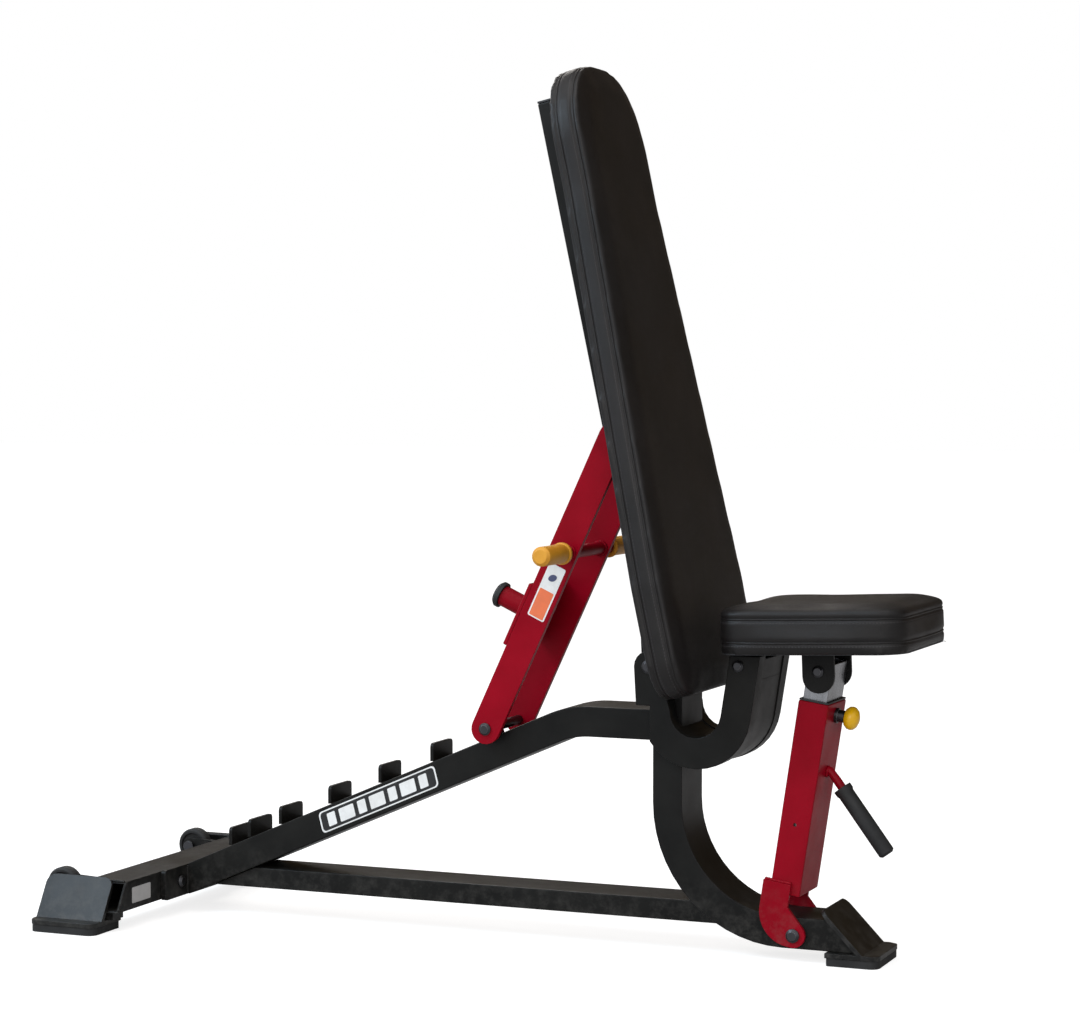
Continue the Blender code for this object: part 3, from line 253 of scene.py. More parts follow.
def vinyl(name):
    """Black upholstery vinyl: pebble grain, soft creases and a dull sheen."""
    look = Look(name, 0.40)
    broad = look.ramp(look.noise(11.0, 5.0, 0.55), 0.0, 1.0, 0.3, 0.7)
    colour = look.blend(broad, (0.0042, 0.0034, 0.0031), (0.0105, 0.0084, 0.0078))
    grain = look.cells(620.0)
    pits = look.ramp(grain, 1.0, 0.0, 0.0, 0.09)
    look.set("Base Color", look.blend(look.maths("MULTIPLY", pits, 0.55), colour, (0.004, 0.004, 0.004)))
    rough = look.ramp(look.noise(6.0, 4.0), 0.33, 0.47, 0.3, 0.7)
    look.set("Roughness", look.maths("ADD", rough, look.maths("MULTIPLY", pits, 0.18)))
    look.set("Specular IOR Level", 0.30)
    look.set("Sheen Weight", 0.01)
    look.set("Sheen Roughness", 0.45)
    pebble = look.bump(look.ramp(grain, 0.0, 1.0, 0.0, 0.22), 0.22, 0.0005)
    crease = look.bump(look.noise(38.0, 6.0, 0.6), 0.16, 0.0016, pebble)
    look.set("Normal", look.bump(look.noise(7.0, 2.0), 0.22, 0.006, crease))
    return look.mat


def rubber(name, dark, light, grain=900.0, depth=0.25, roughness=0.68):
    """Moulded rubber with a fine skin and a bloom of pale dust."""
    look = Look(name, roughness)
    soft, edge = look.rounded_edge(0.0010)
    bloom = look.ramp(look.noise(35.0, 6.0, 0.65), 0.0, 1.0, 0.38, 0.72)
    colour = look.blend(bloom, dark, light)
    scuffs = look.maths("MULTIPLY", edge, look.ramp(look.noise(300.0, 4.0), 0.0, 0.5, 0.5, 0.65))
    look.set("Base Color", look.blend(scuffs, colour, tuple(min(1.0, c * 1.8 + 0.03) for c in light)))
    look.set("Roughness", look.ramp(look.noise(20.0, 4.0), roughness - 0.08, roughness + 0.10, 0.3, 0.7))
    look.set("Normal", look.bump(look.noise(grain, 2.0), depth, 0.0004, soft))
    return look.mat


def steel(name, tint, shade, roughness, along):
    """Plated or blackened steel with drawn lines and faint stains."""
    look = Look(name, roughness, 1.0)
    soft, edge = look.rounded_edge(0.0006)
    lines = look.noise(260.0, 4.0, 0.6, look.stretched(along))
    stain = look.ramp(look.noise(30.0, 3.0, 0.5), 0.0, 0.6, 0.40, 0.75)
    colour = look.blend(stain, tint, shade)
    look.set("Base Color", look.blend(look.maths("MULTIPLY", edge, 0.4), colour, (0.75, 0.75, 0.76)))
    look.set("Roughness", look.ramp(lines, roughness - 0.08, roughness + 0.14, 0.3, 0.7))
    look.set("Normal", look.bump(lines, 0.03, 0.0003, soft))
    return look.mat


def plywood(name):
    """The backing board: black dust cloth over ply, with a woven fleck."""
    look = Look(name, 0.85)
    weave = look.node("ShaderNodeTexWave", {"Vector": look.coords, "Scale": 420.0, "Distortion": 1.5,
                                            "Detail": 2.0}, bands_direction="DIAGONAL").outputs["Fac"]
    fleck = look.ramp(look.noise(700.0, 2.0), 0.0, 0.6, 0.5, 0.75)
    colour = look.blend(weave, (0.010, 0.010, 0.011), (0.030, 0.030, 0.032))
    look.set("Base Color", look.blend(fleck, colour, (0.05, 0.05, 0.052)))
    look.set("Roughness", look.ramp(weave, 0.78, 0.92))
    look.set("Normal", look.bump(weave, 0.25, 0.0004))
    return look.mat


def printed(name, colour, dirt, roughness=0.38):
    """A printed vinyl label, slightly soiled."""
    look = Look(name, roughness)
    grime = look.ramp(look.noise(55.0, 6.0, 0.65), 0.0, 0.45, 0.42, 0.78)
    fine = look.ramp(look.noise(900.0, 2.0), 0.0, 0.12, 0.5, 0.7)
    look.set("Base Color", look.blend(fine, look.blend(grime, colour, dirt), dirt))
    look.set("Roughness", look.ramp(look.noise(120.0, 3.0), roughness - 0.06, roughness + 0.14, 0.3, 0.7))
    look.set("Normal", look.bump(look.noise(300.0, 2.0), 0.05, 0.0003))
    return look.mat


def thread(name):
    """Twisted sewing thread."""
    look = Look(name, 0.62)
    twist = look.node("ShaderNodeTexWave", {"Vector": look.coords, "Scale": 900.0, "Distortion": 3.0},
                      bands_direction="DIAGONAL").outputs["Fac"]
    look.set("Base Color", look.blend(twist, (0.012, 0.011, 0.012), (0.060, 0.054, 0.056)))
    look.set("Roughness", look.ramp(twist, 0.5, 0.75))
    look.set("Normal", look.bump(twist, 0.3, 0.0003))
    return look.mat


BLACK_ENAMEL = ((0.0058, 0.0058, 0.0054), (0.0112, 0.0110, 0.0100), (0.085, 0.085, 0.088))
RED_ENAMEL = ((0.230, 0.0009, 0.0080), (0.290, 0.0018, 0.0115), (0.42, 0.06, 0.07))
BLACK_COAT = powder_coat("black_coat", *BLACK_ENAMEL, 0.36, 0.15)
FOOT_COAT = powder_coat("foot_coat", *BLACK_ENAMEL, 0.34, 0.32)
RED_COAT = powder_coat("red_coat", *RED_ENAMEL, 0.34, 0.09)
VINYL = vinyl("black_vinyl")
RUBBER = rubber("black_rubber", (0.006, 0.006, 0.006), (0.016, 0.016, 0.016))
YELLOW_GRIP = rubber("yellow_grip", (0.60, 0.26, 0.012), (0.70, 0.33, 0.024), 700.0, 0.3, 0.48)
YELLOW_KNOB = rubber("yellow_knob", (0.86, 0.47, 0.004), (0.92, 0.54, 0.010), 900.0, 0.08, 0.30)
BRIGHT = steel("bright_steel", (0.36, 0.37, 0.39), (0.24, 0.24, 0.25), 0.25, (1.0, 1.0, 0.04))
DARK = steel("dark_steel", (0.075, 0.075, 0.080), (0.035, 0.034, 0.034), 0.36, (1.0, 0.1, 1.0))
PLASTIC = rubber("black_plastic", (0.012, 0.012, 0.013), (0.022, 0.022, 0.023), 1200.0, 0.12, 0.46)
BACKING = plywood("backing_cloth")
WHITE_PRINT = printed("white_print", (0.80, 0.80, 0.78), (0.48, 0.47, 0.44))
BLACK_PRINT = printed("black_print", (0.008, 0.008, 0.009), (0.03, 0.03, 0.03))
ORANGE_PRINT = printed("orange_print", (0.78, 0.17, 0.06), (0.50, 0.13, 0.07))
BLUE_PRINT = printed("blue_print", (0.05, 0.06, 0.14), (0.10, 0.11, 0.16))
GREY_PRINT = printed("grey_print", (0.42, 0.41, 0.40), (0.26, 0.25, 0.24))
THREAD = thread("thread")

SLOT_LOOKS = {
    "frame_black": BLACK_COAT, "post_red": RED_COAT, "leather_black": VINYL, "board_wood": BACKING,
    "rubber_black": RUBBER, "grip_yellow": YELLOW_GRIP, "steel_bright": BRIGHT, "steel_dark": DARK,
    "plastic_black": PLASTIC,
}
OWN_LOOKS = {"foot_plate_near": FOOT_COAT, "foot_plate_far": FOOT_COAT, "foot_plate_front": FOOT_COAT,
             "pull_knob": YELLOW_KNOB}


def ease_facets(mesh):
    """Shades the round stretches of a mesh as round, and leaves its true edges sharp.

    Points in the same place count as one, because the faces of a CAD node may not share them.
    """
    keys = [tuple(round(c, 5) for c in vert.co) for vert in mesh.vertices]
    around = {}
    for face in mesh.polygons:
        for index in face.vertices:
            around.setdefault(keys[index], []).append((face.normal.copy(), face.area))
    limit = math.cos(FACET_ANGLE)
    normals = []
    for face in mesh.polygons:
        for index in face.vertices:
            total = Vector()
            for normal, area in around[keys[index]]:
                if normal.dot(face.normal) > limit:
                    total += normal * area
            normals.append(total.normalized())
    mesh.shade_smooth()
    mesh.normals_split_custom_set(normals)


def repaint_frame():
    """Gives every CAD node the finish of its slot, or one of its own."""
    for part in frame["record"]["subparts"]:
        node = nodes[part["node"]]
        ease_facets(node.data)
        look = OWN_LOOKS.get(part["node"], SLOT_LOOKS[part["material_slot"]])
        for holder in node.material_slots:
            holder.material = look


# ------------------------------------------------------------ mesh helpers
def new_piece(name, mesh, look, body, smooth=True):
    """Links a finished mesh as one piece of a body."""
    piece = bpy.data.objects.new(name, mesh)
    bpy.context.scene.collection.objects.link(piece)
    mesh.materials.clear()
    mesh.materials.append(look)
    if smooth:
        mesh.shade_smooth()
        mesh.set_sharp_from_angle(angle=CREASE_ANGLE)
    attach(piece, body)
    return piece


def mesh_from(shape, name):
    """Turns a bmesh into a mesh and frees it."""
    mesh = bpy.data.meshes.new(name)
    bmesh.ops.recalc_face_normals(shape, faces=shape.faces)
    shape.to_mesh(mesh)
    shape.free()
    return mesh


def sweep(shape, path, radii, closed=False, sides=8, up=Vector((0, 0, 1))):
    """Adds a tube along a path of points to shape; radii is one per point."""
    rings = []
    count = len(path)
    for i, point in enumerate(path):
        ahead = path[(i + 1) % count] if closed or i + 1 < count else point
        behind = path[i - 1] if closed or i > 0 else point
        along = (ahead - behind).normalized()
        across = along.cross(up)
        if across.length < 0.05:
            across = along.cross(Vector((0, 1, 0)))
        across.normalize()
        over = across.cross(along).normalized()
        ring = []
        for k in range(sides):
            turn = 2 * math.pi * k / sides
            offset = across * math.cos(turn) + over * math.sin(turn)
            ring.append(shape.verts.new(point + offset * radii[i]))
        rings.append(ring)
    pairs = list(zip(rings, rings[1:]))
    if closed:
        pairs.append((rings[-1], rings[0]))
    for first, second in pairs:
        for k in range(sides):
            nxt = (k + 1) % sides
            shape.faces.new((first[k], first[nxt], second[nxt], second[k]))
    if not closed:
        shape.faces.new(rings[0][::-1])
        shape.faces.new(rings[-1])


def resampled(path, pitch, closed=True):
    """Points every pitch along a polyline."""
    points = path + [path[0]] if closed else list(path)
    lengths = [0.0]
    for first, second in zip(points, points[1:]):
        lengths.append(lengths[-1] + (second - first).length)
    count = max(8, round(lengths[-1] / pitch))
    out, k = [], 0
    for i in range(count if closed else count + 1):
        want = lengths[-1] * i / count
        while k < len(points) - 2 and lengths[k + 1] < want:
            k += 1
        span = lengths[k + 1] - lengths[k] or 1.0
        out.append(points[k].lerp(points[k + 1], (want - lengths[k]) / span))
    return out


def smoothed(path, times=2):
    """A closed path with its small kinks eased."""
    for _ in range(times):
        path = [(path[i - 1] + path[i] * 2 + path[(i + 1) % len(path)]) / 4 for i in range(len(path))]
    return path


def section(obj, point, normal):
    """The closed outline where a plane cuts a mesh, as ordered points."""
    shape = bmesh.new()
    shape.from_mesh(obj.data)
    cut = bmesh.ops.bisect_plane(shape, geom=shape.verts[:] + shape.edges[:] + shape.faces[:], dist=1e-6,
                                 plane_co=point, plane_no=normal)
    edges = [item for item in cut["geom_cut"] if isinstance(item, bmesh.types.BMEdge)]
    near = {}
    for edge in edges:
        for here, there in (tuple(edge.verts), tuple(reversed(edge.verts))):
            near.setdefault(here, []).append(there)
    best, seen = [], set()
    for start in near:
        if start in seen:
            continue
        chain, here = [start], start
        seen.add(start)
        while True:
            onward = [vert for vert in near[here] if vert not in seen]
            if not onward:
                break
            here = onward[0]
            seen.add(here)
            chain.append(here)
        if len(chain) > len(best):
            best = chain
    outline = [vert.co.copy() for vert in best]
    shape.free()
    return outline


# ----------------------------------------------------------------- padding
def refilled(node, matrix, axis, low, high):
    """The CAD pad laid flat in its own frame and refilled from low to high."""
    mesh = nodes[node].data.copy()
    mesh.transform(matrix.inverted())
    old_low, old_high = local_box(node, matrix)
    centre = (old_low + old_high) / 2
    half = (old_high - old_low) / 2
    for vert in mesh.vertices:
        for k in range(3):
            if k == axis:
                share = (vert.co[k] - old_low[k]) / (old_high[k] - old_low[k])
                vert.co[k] = low + (high - low) * share
            else:
                vert.co[k] = centre[k] + (vert.co[k] - centre[k]) * (1 - VINYL_SHRINK / half[k])
    return mesh


def apply_modifiers(obj):
    """Bakes obj's modifiers into its mesh."""
    graph = bpy.context.evaluated_depsgraph_get()
    mesh = bpy.data.meshes.new_from_object(obj.evaluated_get(graph), depsgraph=graph)
    obj.modifiers.clear()
    obj.data = mesh


def relax(mesh, times, keep):
    """Rounds a mesh off, leaving alone the points that keep picks."""
    shape = bmesh.new()
    shape.from_mesh(mesh)
    verts = [vert for vert in shape.verts if not keep(vert.co)]
    for _ in range(times):
        bmesh.ops.smooth_vert(shape, verts=verts, factor=0.5,
                              use_axis_x=True, use_axis_y=True, use_axis_z=True)
    shape.to_mesh(mesh)
    shape.free()


def inflate(pad, held):
    """Lets cloth under pressure swell the pad, with the held points fixed."""
    group = pad.vertex_groups.new(name="held")
    group.add(held, 1.0, "REPLACE")
    cloth = pad.modifiers.new("puff", "CLOTH")
    cloth.settings.vertex_group_mass = "held"
    cloth.settings.use_pressure = True
    cloth.settings.uniform_pressure_force = PRESSURE
    cloth.settings.tension_stiffness = CLOTH_STIFFNESS
    cloth.settings.compression_stiffness = CLOTH_STIFFNESS
    cloth.settings.bending_stiffness = 2.0
    cloth.settings.quality = 5
    cloth.settings.effector_weights.gravity = 0.0
    cloth.point_cache.frame_start = 1
    cloth.point_cache.frame_end = SWELL_FRAMES
    for step in range(1, SWELL_FRAMES + 1):
        bpy.context.scene.frame_set(step)
        bpy.context.view_layer.update()
    apply_modifiers(pad)
    bpy.context.scene.frame_set(1)


def keep_swell(mesh, start, facings, held):
    """Keeps only how far the cloth swelled outwards, evened over the skin."""
    near = [[] for _ in start]
    for edge in mesh.edges:
        first, second = edge.vertices
        near[first].append(second)
        near[second].append(first)
    rise = []
    for vert, old, facing in zip(mesh.vertices, start, facings):
        rise.append(min(SWELL_CAP, max(0.0, (vert.co - old).dot(facing))))
    for _ in range(SWELL_EVEN):
        rise = [(own + sum(rise[k] for k in around) / len(around)) / 2 for own, around in zip(rise, near)]
    for index in held:
        rise[index] = 0.0
    for vert, old, facing, far in zip(mesh.vertices, start, facings, rise):
        vert.co = old + facing * far


def seam_groove(mesh, axis, levels):
    """Draws the skin in along each seam level of the side wall."""
    normals = [vert.normal.copy() for vert in mesh.vertices]
    for vert, normal in zip(mesh.vertices, normals):
        side = math.sqrt(max(0.0, 1 - normal[axis] ** 2))
        if side < 0.5:
            continue
        for level in levels:
            gap = abs(vert.co[axis] - level) / GROOVE_WIDTH
            if gap < 1.0:
                inward = normal.copy()
                inward[axis] = 0.0
                vert.co -= inward.normalized() * GROOVE_DEPTH * (1 - gap * gap) ** 2 * side


def along(axis, level):
    """A point at level on one axis of a leaning frame."""
    point = Vector()
    point[axis] = level
    return point


def stuffed(name, node, matrix, axis, low, high, seams):
    """The cushion itself: refilled, swelled under pressure and drawn in at its seams."""
    pad = bpy.data.objects.new(name, refilled(node, matrix, axis, low, high))
    bpy.context.scene.collection.objects.link(pad)
    remesh = pad.modifiers.new("even", "REMESH")
    remesh.mode = "VOXEL"
    remesh.voxel_size = VOXEL
    apply_modifiers(pad)
    relax(pad.data, RELAX_STEPS, lambda co: co[axis] < low + FLAT_RIM)
    start = [vert.co.copy() for vert in pad.data.vertices]
    facings = [vert.normal.copy() for vert in pad.data.vertices]
    held = [vert.index for vert in pad.data.vertices if vert.co[axis] < low + HELD_RIM]
    inflate(pad, held)
    keep_swell(pad.data, start, facings, held)
    subdivide = pad.modifiers.new("fine", "SUBSURF")
    subdivide.levels = 1
    subdivide.render_levels = 1
    apply_modifiers(pad)
    seam_groove(pad.data, axis, seams)
    for vert in pad.data.vertices:
        vert.co[axis] = max(vert.co[axis], low)
    pad.data.transform(matrix)
    pad.data.materials.clear()
    pad.data.materials.append(VINYL)
    pad.data.shade_smooth()
    return pad


def upholster(name, node, board, body, matrix, axis, seam_shares, stitch_sides):
    """One finished cushion, with a welt at each seam and stitching on one side of it."""
    low = local_box(board, matrix)[0][axis] + BOARD_EDGE
    high = local_box(node, matrix)[1][axis] - PAD_HEADROOM
    depth = high - low
    seams = [low + depth * share for share in seam_shares]
    pad = stuffed(name, node, matrix, axis, low, high, seams)
    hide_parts(node)
    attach(pad, body)
    facing = matrix.to_3x3().col[axis].normalized()
    for index, level in enumerate(seams, 1):
        loop = smoothed(resampled(section(pad, matrix @ along(axis, level), facing), OUTLINE_STEP), 3)
        shape = bmesh.new()
        sweep(shape, loop, [WELT_R] * len(loop), closed=True, up=facing)
        new_piece(f"{name}_welt_{index}", mesh_from(shape, "welt"), VINYL, body)
    for index, (level, side) in enumerate(zip(seams, stitch_sides), 1):
        outline = section(pad, matrix @ along(axis, level + side * STITCH_OFFSET), facing)
        loop = resampled(smoothed(resampled(outline, OUTLINE_STEP)), STITCH_PITCH)
        stitches(f"{name}_stitching_{index}", loop, facing, body)


def stitches(name, loop, facing, body):
    """A run of short threads lying along a closed line."""
    shape = bmesh.new()
    count = len(loop)
    for i, point in enumerate(loop):
        reach = (loop[(i + 1) % count] - loop[i - 1]).normalized() * STITCH_PITCH * 0.34
        path = [point - reach, point - reach * 0.5, point + reach * 0.5, point + reach]
        sweep(shape, path, [THREAD_END_R, THREAD_R, THREAD_R, THREAD_END_R], sides=5, up=facing)
    new_piece(name, mesh_from(shape, "stitches"), THREAD, body)


def make_padding():
    """The two cushions; seams are shares of their depth, and stitching is above (1) or below (-1)."""
    upholster("back_cushion", "back_pad", "back_board", "backrest", BACK, 0, (0.24, 0.80), (1, -1))
    upholster("seat_cushion", "seat_pad", "seat_board", "seat", SEAT, 2, (0.26, 0.78), (-1, -1))


# -------------------------------------------------------------------- welds
def bead(shape, path, radius=WELD_R, closed=False):
    """A rippled weld bead laid along a path."""
    points = resampled(path, RIPPLE_PITCH, closed)
    radii = []
    for i in range(len(points)):
        ripple = 0.86 + 0.20 * abs(math.sin(i * 1.05)) + random.uniform(-0.05, 0.05)
        radii.append(radius * ripple)
    sweep(shape, points, radii, closed, sides=7)


def straight_bead(shape, matrix, start, end, radius=WELD_R):
    """A bead between two points of a frame."""
    bead(shape, [matrix @ Vector(start), matrix @ Vector(end)], radius)


def ring_path(centre, radius, matrix, axis="Y", count=28):
    """Points of a circle about an axis of a leaning frame."""
    points = []
    for i in range(count):
        turn = 2 * math.pi * i / count
        first, second = radius * math.cos(turn), radius * math.sin(turn)
        offset = {"X": (0, first, second), "Y": (first, 0, second)}[axis]
        points.append(matrix @ (Vector(centre) + Vector(offset)))
    return points


def tab_welds(shape):
    """Two short beads at the foot of each ladder tab."""
    for number in range(1, 7):
        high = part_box(f"ladder_tab_{number}")[1]
        foot = BEAM.inverted() @ Vector((high[0], 0, beam_top(high[0])))
        x = foot.x + 0.001
        for side in (-1, 1):
            straight_bead(shape, BEAM, (x, side * 0.008, foot.z), (x, side * 0.032, foot.z), TAB_WELD_R)


def leg_welds(shape):
    """Beads round the end of the beam, on the brace and under the yoke."""
    leg_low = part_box("leg_tube")[0]
    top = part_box("main_beam")[1][2]
    bottom = top - TUBE
    x = leg_low[0] - 0.001
    for y in (-0.0432, 0.0432):
        straight_bead(shape, UPRIGHT, (x, y, bottom + 0.003), (x, y, top - 0.003))
    for z in (top, bottom):
        straight_bead(shape, UPRIGHT, (x, -0.041, z), (x, 0.041, z))
    brace_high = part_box("brace_tube")[1]
    x, z = brace_high[0] - 0.0165, brace_high[2]
    straight_bead(shape, UPRIGHT, (x, -0.036, z), (x, 0.036, z))
    centre = Vector((leg_low[0] + 0.0715, 0, 0.341))
    for y in (-0.0440, 0.0440):
        arc = []
        for i in range(11):
            turn = math.radians(216 + 32 * i / 10)
            arc.append(centre + Vector((YOKE_WELD_R * math.cos(turn), y, YOKE_WELD_R * math.sin(turn))))
        bead(shape, arc)


def rear_welds(shape):
    """Beads beside the beam at its flange, and where the feet meet the stabilizer."""
    low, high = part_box("beam_flange")
    x = high[0] + 0.0004
    for y in (-0.0434, 0.0434):
        straight_bead(shape, UPRIGHT, (x, y, low[2] + 0.002), (x, y, high[2] - 0.002))
    low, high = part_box("stabilizer_tube")
    reach = abs(low[1]) - 0.024
    for side in (-1, 1):
        for x in (low[0], high[0]):
            straight_bead(shape, UPRIGHT, (x, side * (reach + 0.001), high[2] - 0.002),
                          (x, side * (reach + 0.0225), low[2] + 0.004))
        y = side * reach
        straight_bead(shape, UPRIGHT, (low[0] + 0.003, y, high[2]), (high[0] - 0.003, y, high[2]))


def frame_welds():
    """Beads where the tubes, tabs, plates and yoke meet."""
    shape = bmesh.new()
    tab_welds(shape)
    leg_welds(shape)
    rear_welds(shape)
    new_piece("frame_weld_beads", mesh_from(shape, "beads"), BLACK_COAT, "frame")


def arm_welds():
    """Beads on the support arm: web edges, stub tube and crossbar."""
    shape = bmesh.new()
    low, high = local_box("arm_web", ARM)
    x = high.x + 0.0006
    for y in (-0.0562, 0.0562):
        straight_bead(shape, ARM, (x, y, low.z + 0.003), (x, y, high.z - 0.003), ARM_WELD_R)
    stub_z = local_middle("bumper_tube", ARM).z
    bead(shape, ring_path((low.x - 0.0008, 0, stub_z), 0.0153, ARM, "X"), ARM_WELD_R, True)
    bar = local_middle("grip_bar", ARM)
    for y in (-0.0655, -0.0565, 0.0565, 0.0655):
        bead(shape, ring_path((bar.x, y, bar.z), 0.0098, ARM), ROD_WELD_R, True)
    new_piece("arm_weld_beads", mesh_from(shape, "beads"), RED_COAT, "support_arm")


def post_welds():
    """Beads where the clevis plates and the handle meet the post."""
    shape = bmesh.new()
    for y in (-0.0447, 0.0447):
        straight_bead(shape, POST, (-0.052, y, 0.0690), (-0.0145, y, 0.0690))
    low, high = local_box("handle_rod", POST)
    bead(shape, ring_path((low.x + 0.0012, 0, high.z - 0.0072), 0.0066, POST, "X"), ROD_WELD_R, True)
    new_piece("post_weld_beads", mesh_from(shape, "beads"), RED_COAT, "seat_post")


# ------------------------------------------------------------------- labels
def rounded_corners(width, height, corner, lean):
    """A rectangle with round corners as pairs of across and up, leaning with its height."""
    points = []
    for cx, cy, first in ((1, 1, 0), (-1, 1, 90), (-1, -1, 180), (1, -1, 270)):
        for k in range(5):
            turn = math.radians(first + 90 * k / 4)
            across = cx * (width / 2 - corner) + corner * math.cos(turn)
            up = cy * (height / 2 - corner) + corner * math.sin(turn)
            points.append((across + lean * up, up))
    return points


def label(name, matrix, centre, size, corner, look, body, slot, lean=0.0, lift=LABEL_LIFT, axis="Y"):
    """A thin rounded label in a leaning frame, on a side face or, with axis X, on a front face."""
    shape = bmesh.new()
    centre = Vector(centre)
    for across, up in rounded_corners(*size, corner, lean):
        if axis == "Y":
            spot = Vector((centre.x + across, centre.y, centre.z + up))
        else:
            spot = Vector((centre.x, centre.y + across, centre.z + up))
        shape.verts.new(matrix @ spot)
    shape.faces.new(shape.verts)
    outward = Vector((0, -1, 0)) if axis == "Y" else Vector((1, 0, 0))
    grown = bmesh.ops.extrude_face_region(shape, geom=shape.faces[:])
    moved = [item for item in grown["geom"] if isinstance(item, bmesh.types.BMVert)]
    bmesh.ops.translate(shape, verts=moved, vec=(matrix.to_3x3() @ outward).normalized() * lift)
    return new_piece(name, mesh_from(shape, "label"), look, body, smooth=False)


def beam_badge():
    """A leaning badge of plain bars on the near side of the beam."""
    near = -FRAME_HALF - 0.00005
    x = (first_tab.x + last_tab.x) / 2 + 0.087
    centre = BEAM.inverted() @ Vector((x, near, beam_top(x) - 0.0225))
    centre.y = near
    on_beam = {"body": "frame", "slot": "frame_black", "lean": BADGE_LEAN}
    label("beam_badge", BEAM, centre, (0.204, 0.031), 0.006, WHITE_PRINT, **on_beam)
    raised = Vector((centre.x, near - LABEL_LIFT, centre.z))
    label("beam_badge_field", BEAM, raised, (0.199, 0.027), 0.005, BLACK_PRINT, lift=PRINT_LIFT, **on_beam)
    reach = BADGE_BARS_START
    for index, width in enumerate(BADGE_BARS, 1):
        spot = Vector((centre.x + reach + width / 2, near - LABEL_LIFT - PRINT_LIFT, centre.z))
        label(f"beam_badge_bar_{index}", BEAM, spot, (width - 0.004, 0.019), 0.0015, WHITE_PRINT,
              lift=PRINT_LIFT, **on_beam)
        reach += width + 0.0028


def arm_labels():
    """A white label with a plain mark and an orange field on the near arm plate."""
    face = local_box("arm_plate_near", ARM)[0].y - 0.00005
    over = face - LABEL_LIFT
    on_arm = {"body": "support_arm", "slot": "post_red"}
    label("arm_label_white", ARM, (0.002, face, -0.2395), (0.027, 0.082), 0.0025, WHITE_PRINT, **on_arm)
    label("arm_label_mark", ARM, (0.002, over, -0.2175), (0.011, 0.011), 0.0050, BLUE_PRINT,
          lean=0.35, lift=PRINT_LIFT, **on_arm)
    label("arm_label_orange", ARM, (0.002, over, -0.2580), (0.0225, 0.0415), 0.0015, ORANGE_PRINT,
          lift=PRINT_LIFT, **on_arm)


def make_labels():
    """Plain generic labels in the places where the maker's own would sit."""
    beam_badge()
    arm_labels()
    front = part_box("stabilizer_tube")[1][0] + 0.00005
    label("stabilizer_label", UPRIGHT, (front, -0.163, 0.048), (0.052, 0.023), 0.002, GREY_PRINT,
          "frame", "frame_black", axis="X")


# ------------------------------------------------------- small hidden trims
def make_staples():
    """Staples that hold the vinyl to the board, round its rear edge."""
    for board, body, matrix, axis, name in (("back_board", "backrest", BACK, 0, "back_staples"),
                                            ("seat_board", "seat", SEAT, 2, "seat_staples")):
        low = local_box(board, matrix)[0][axis]
        facing = matrix.to_3x3().col[axis].normalized()
        outline = section(nodes[board], matrix @ along(axis, low + 0.002), facing)
        centre = sum(outline, Vector()) / len(outline)
        spots = [point + (centre - point).normalized() * STAPLE_INSET
                 for point in resampled(outline, STAPLE_PITCH)]
        shape = bmesh.new()
        for i, spot in enumerate(spots):
            half = (spots[(i + 1) % len(spots)] - spots[i - 1]).normalized() * STAPLE_HALF
            crown = spot - facing * 0.0022
            leg = facing * 0.0006
            path = [crown - half + leg, crown - half, crown + half, crown + half + leg]
            sweep(shape, path, [STAPLE_WIRE_R] * 4, sides=5, up=facing)
        new_piece(name, mesh_from(shape, "staples"), BRIGHT, body)


def screw_head(shape, matrix, spot, radius, height):
    """Adds a domed head that faces along X of a leaning frame."""
    turned = Matrix.Translation(spot) @ Matrix.Rotation(-math.pi / 2, 4, "Y")
    bmesh.ops.create_uvsphere(shape, u_segments=16, v_segments=8, radius=1.0,
                              matrix=matrix @ turned @ Matrix.Diagonal((radius, radius, height, 1)))


def make_post_screw():
    """The small set screw on the rear face of the post, near its top."""
    high = local_box("post_outer", POST)[1]
    shape = bmesh.new()
    screw_head(shape, POST, (high.x - TUBE, 0.012, high.z - 0.016), 0.0055, 0.0040)
    new_piece("post_set_screw", mesh_from(shape, "screw"), DARK, "seat_post")


def make_cross_screws():
    """Screw heads that hold the cross plates to the back board."""
    x = local_box("back_tube", BACK)[1].x - 0.0043
    shape = bmesh.new()
    for height in CROSS_SCREW_HEIGHTS:
        for y in (-0.080, 0.080):
            screw_head(shape, BACK, (x, y, height), 0.0075, 0.0035)
    new_piece("cross_plate_screws", mesh_from(shape, "screws"), DARK, "backrest")


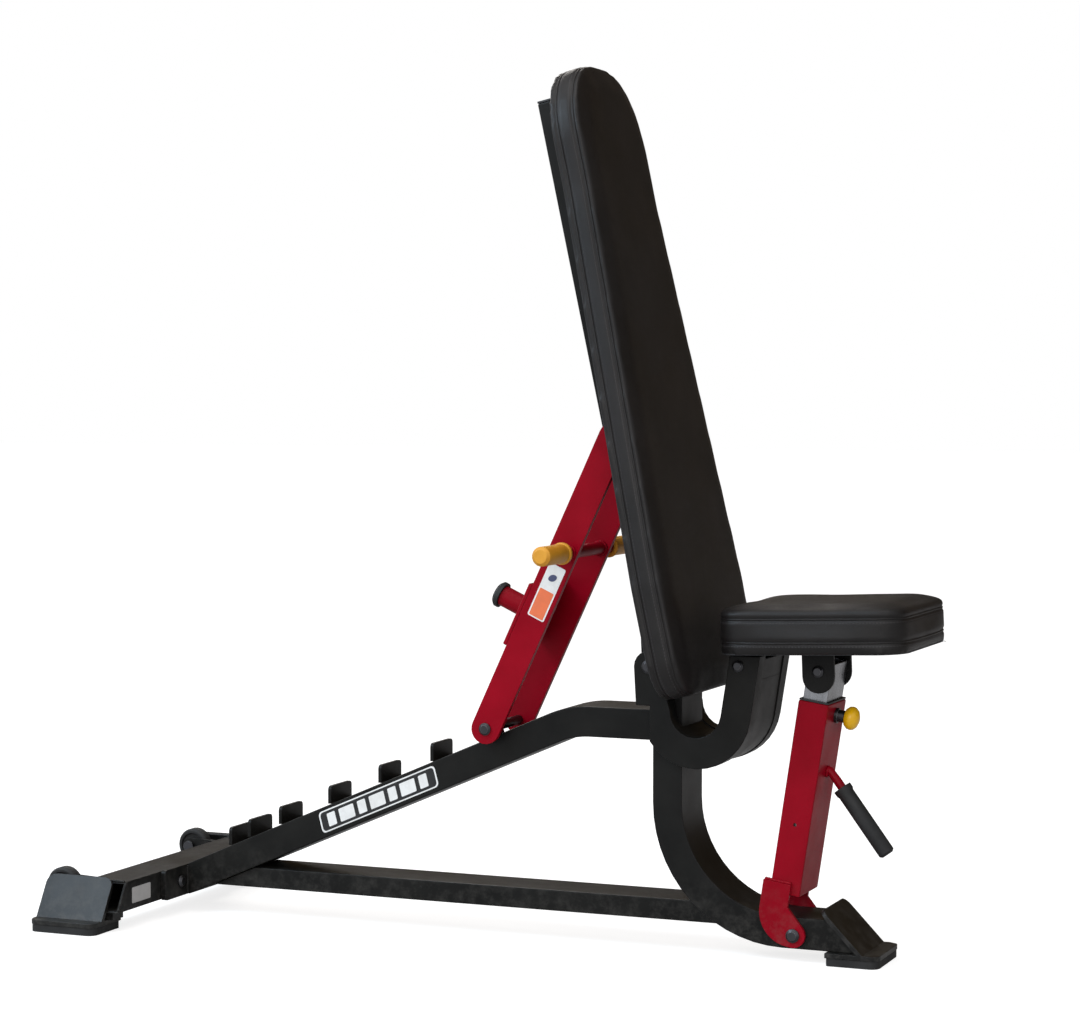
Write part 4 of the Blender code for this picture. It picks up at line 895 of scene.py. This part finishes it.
# ---------------------------------------------------------- floor and light
def make_world():
    """White behind the bench; its far side lights the bench dimly and warmly."""
    world = bpy.data.worlds.new("studio")
    world.use_nodes = True
    tree = world.node_tree
    ways = tree.nodes.new("ShaderNodeTexCoord").outputs["Generated"]
    toward = tree.nodes.new("ShaderNodeVectorMath")
    toward.operation = "DOT_PRODUCT"
    tree.links.new(ways, toward.inputs[0])
    toward.inputs[1].default_value = DIM_SIDE
    share = tree.nodes.new("ShaderNodeMapRange")
    share.interpolation_type = "SMOOTHSTEP"
    share.inputs["From Min"].default_value = DIM_EDGE
    share.inputs["From Max"].default_value = DIM_CORE
    tree.links.new(toward.outputs["Value"], share.inputs["Value"])
    tint = tree.nodes.new("ShaderNodeMix")
    tint.data_type = "RGBA"
    tint.inputs[6].default_value = (*WORLD_BRIGHT, 1.0)
    tint.inputs[7].default_value = (*WORLD_DIM, 1.0)
    tree.links.new(share.outputs["Result"], tint.inputs["Factor"])
    seen = tree.nodes.new("ShaderNodeMix")
    seen.data_type = "RGBA"
    seen.inputs[7].default_value = (1.0, 1.0, 1.0, 1.0)
    tree.links.new(tint.outputs[2], seen.inputs[6])
    tree.links.new(tree.nodes.new("ShaderNodeLightPath").outputs["Is Camera Ray"], seen.inputs["Factor"])
    tree.links.new(seen.outputs[2], tree.nodes["Background"].inputs["Color"])
    bpy.context.scene.world = world


def make_floor():
    """A pale floor that looks white from the camera and keeps soft shadows."""
    shape = bmesh.new()
    bmesh.ops.create_grid(shape, x_segments=1, y_segments=1, size=30.0)
    floor = bpy.data.objects.new("floor", mesh_from(shape, "floor"))
    floor.location.z = -0.0004
    bpy.context.scene.collection.objects.link(floor)
    look = Look("floor_paint", 0.75)
    tone = look.ramp(look.noise(1.2, 3.0), 0.0, 1.0, 0.3, 0.7)
    look.set("Base Color", look.blend(tone, (0.43, 0.42, 0.41), (0.46, 0.45, 0.44)))
    look.set("Roughness", look.ramp(look.noise(4.0, 3.0), 0.70, 0.82, 0.3, 0.7))
    look.set("Emission Color", (1.0, 1.0, 1.0, 1.0))
    in_view = look.node("ShaderNodeLightPath").outputs["Is Camera Ray"]
    look.set("Emission Strength", look.maths("MULTIPLY", in_view, FLOOR_GLOW))
    floor.data.materials.append(look.mat)


def make_panels():
    """Soft light panels that face the middle of the bench."""
    for name, spot, (width, height), power, colour in PANELS:
        lamp = bpy.data.lights.new(name, "AREA")
        lamp.shape = "RECTANGLE"
        lamp.size = width
        lamp.size_y = height
        lamp.energy = power
        lamp.color = colour
        holder = bpy.data.objects.new(name, lamp)
        holder.location = spot
        facing = Vector((0, 0, 0.5)) - Vector(spot)
        holder.rotation_euler = facing.to_track_quat("-Z", "Y").to_euler()
        bpy.context.scene.collection.objects.link(holder)


def make_camera():
    """Low three-quarter view from the near side."""
    camera = bpy.data.cameras.new("camera")
    camera.sensor_width = 36.0
    camera.sensor_fit = "HORIZONTAL"
    camera.lens = CAMERA_LENS
    holder = bpy.data.objects.new("camera", camera)
    holder.location = CAMERA_SPOT
    holder.rotation_euler = (CAMERA_TILT, 0.0, CAMERA_TURN)
    bpy.context.scene.collection.objects.link(holder)
    bpy.context.scene.camera = holder


make_camera()
make_floor()
make_world()
make_panels()
bpy.context.scene.view_settings.view_transform = "Standard"
repaint_frame()
make_padding()
frame_welds()
arm_welds()
post_welds()
make_labels()
make_staples()
make_cross_screws()
make_post_screw()
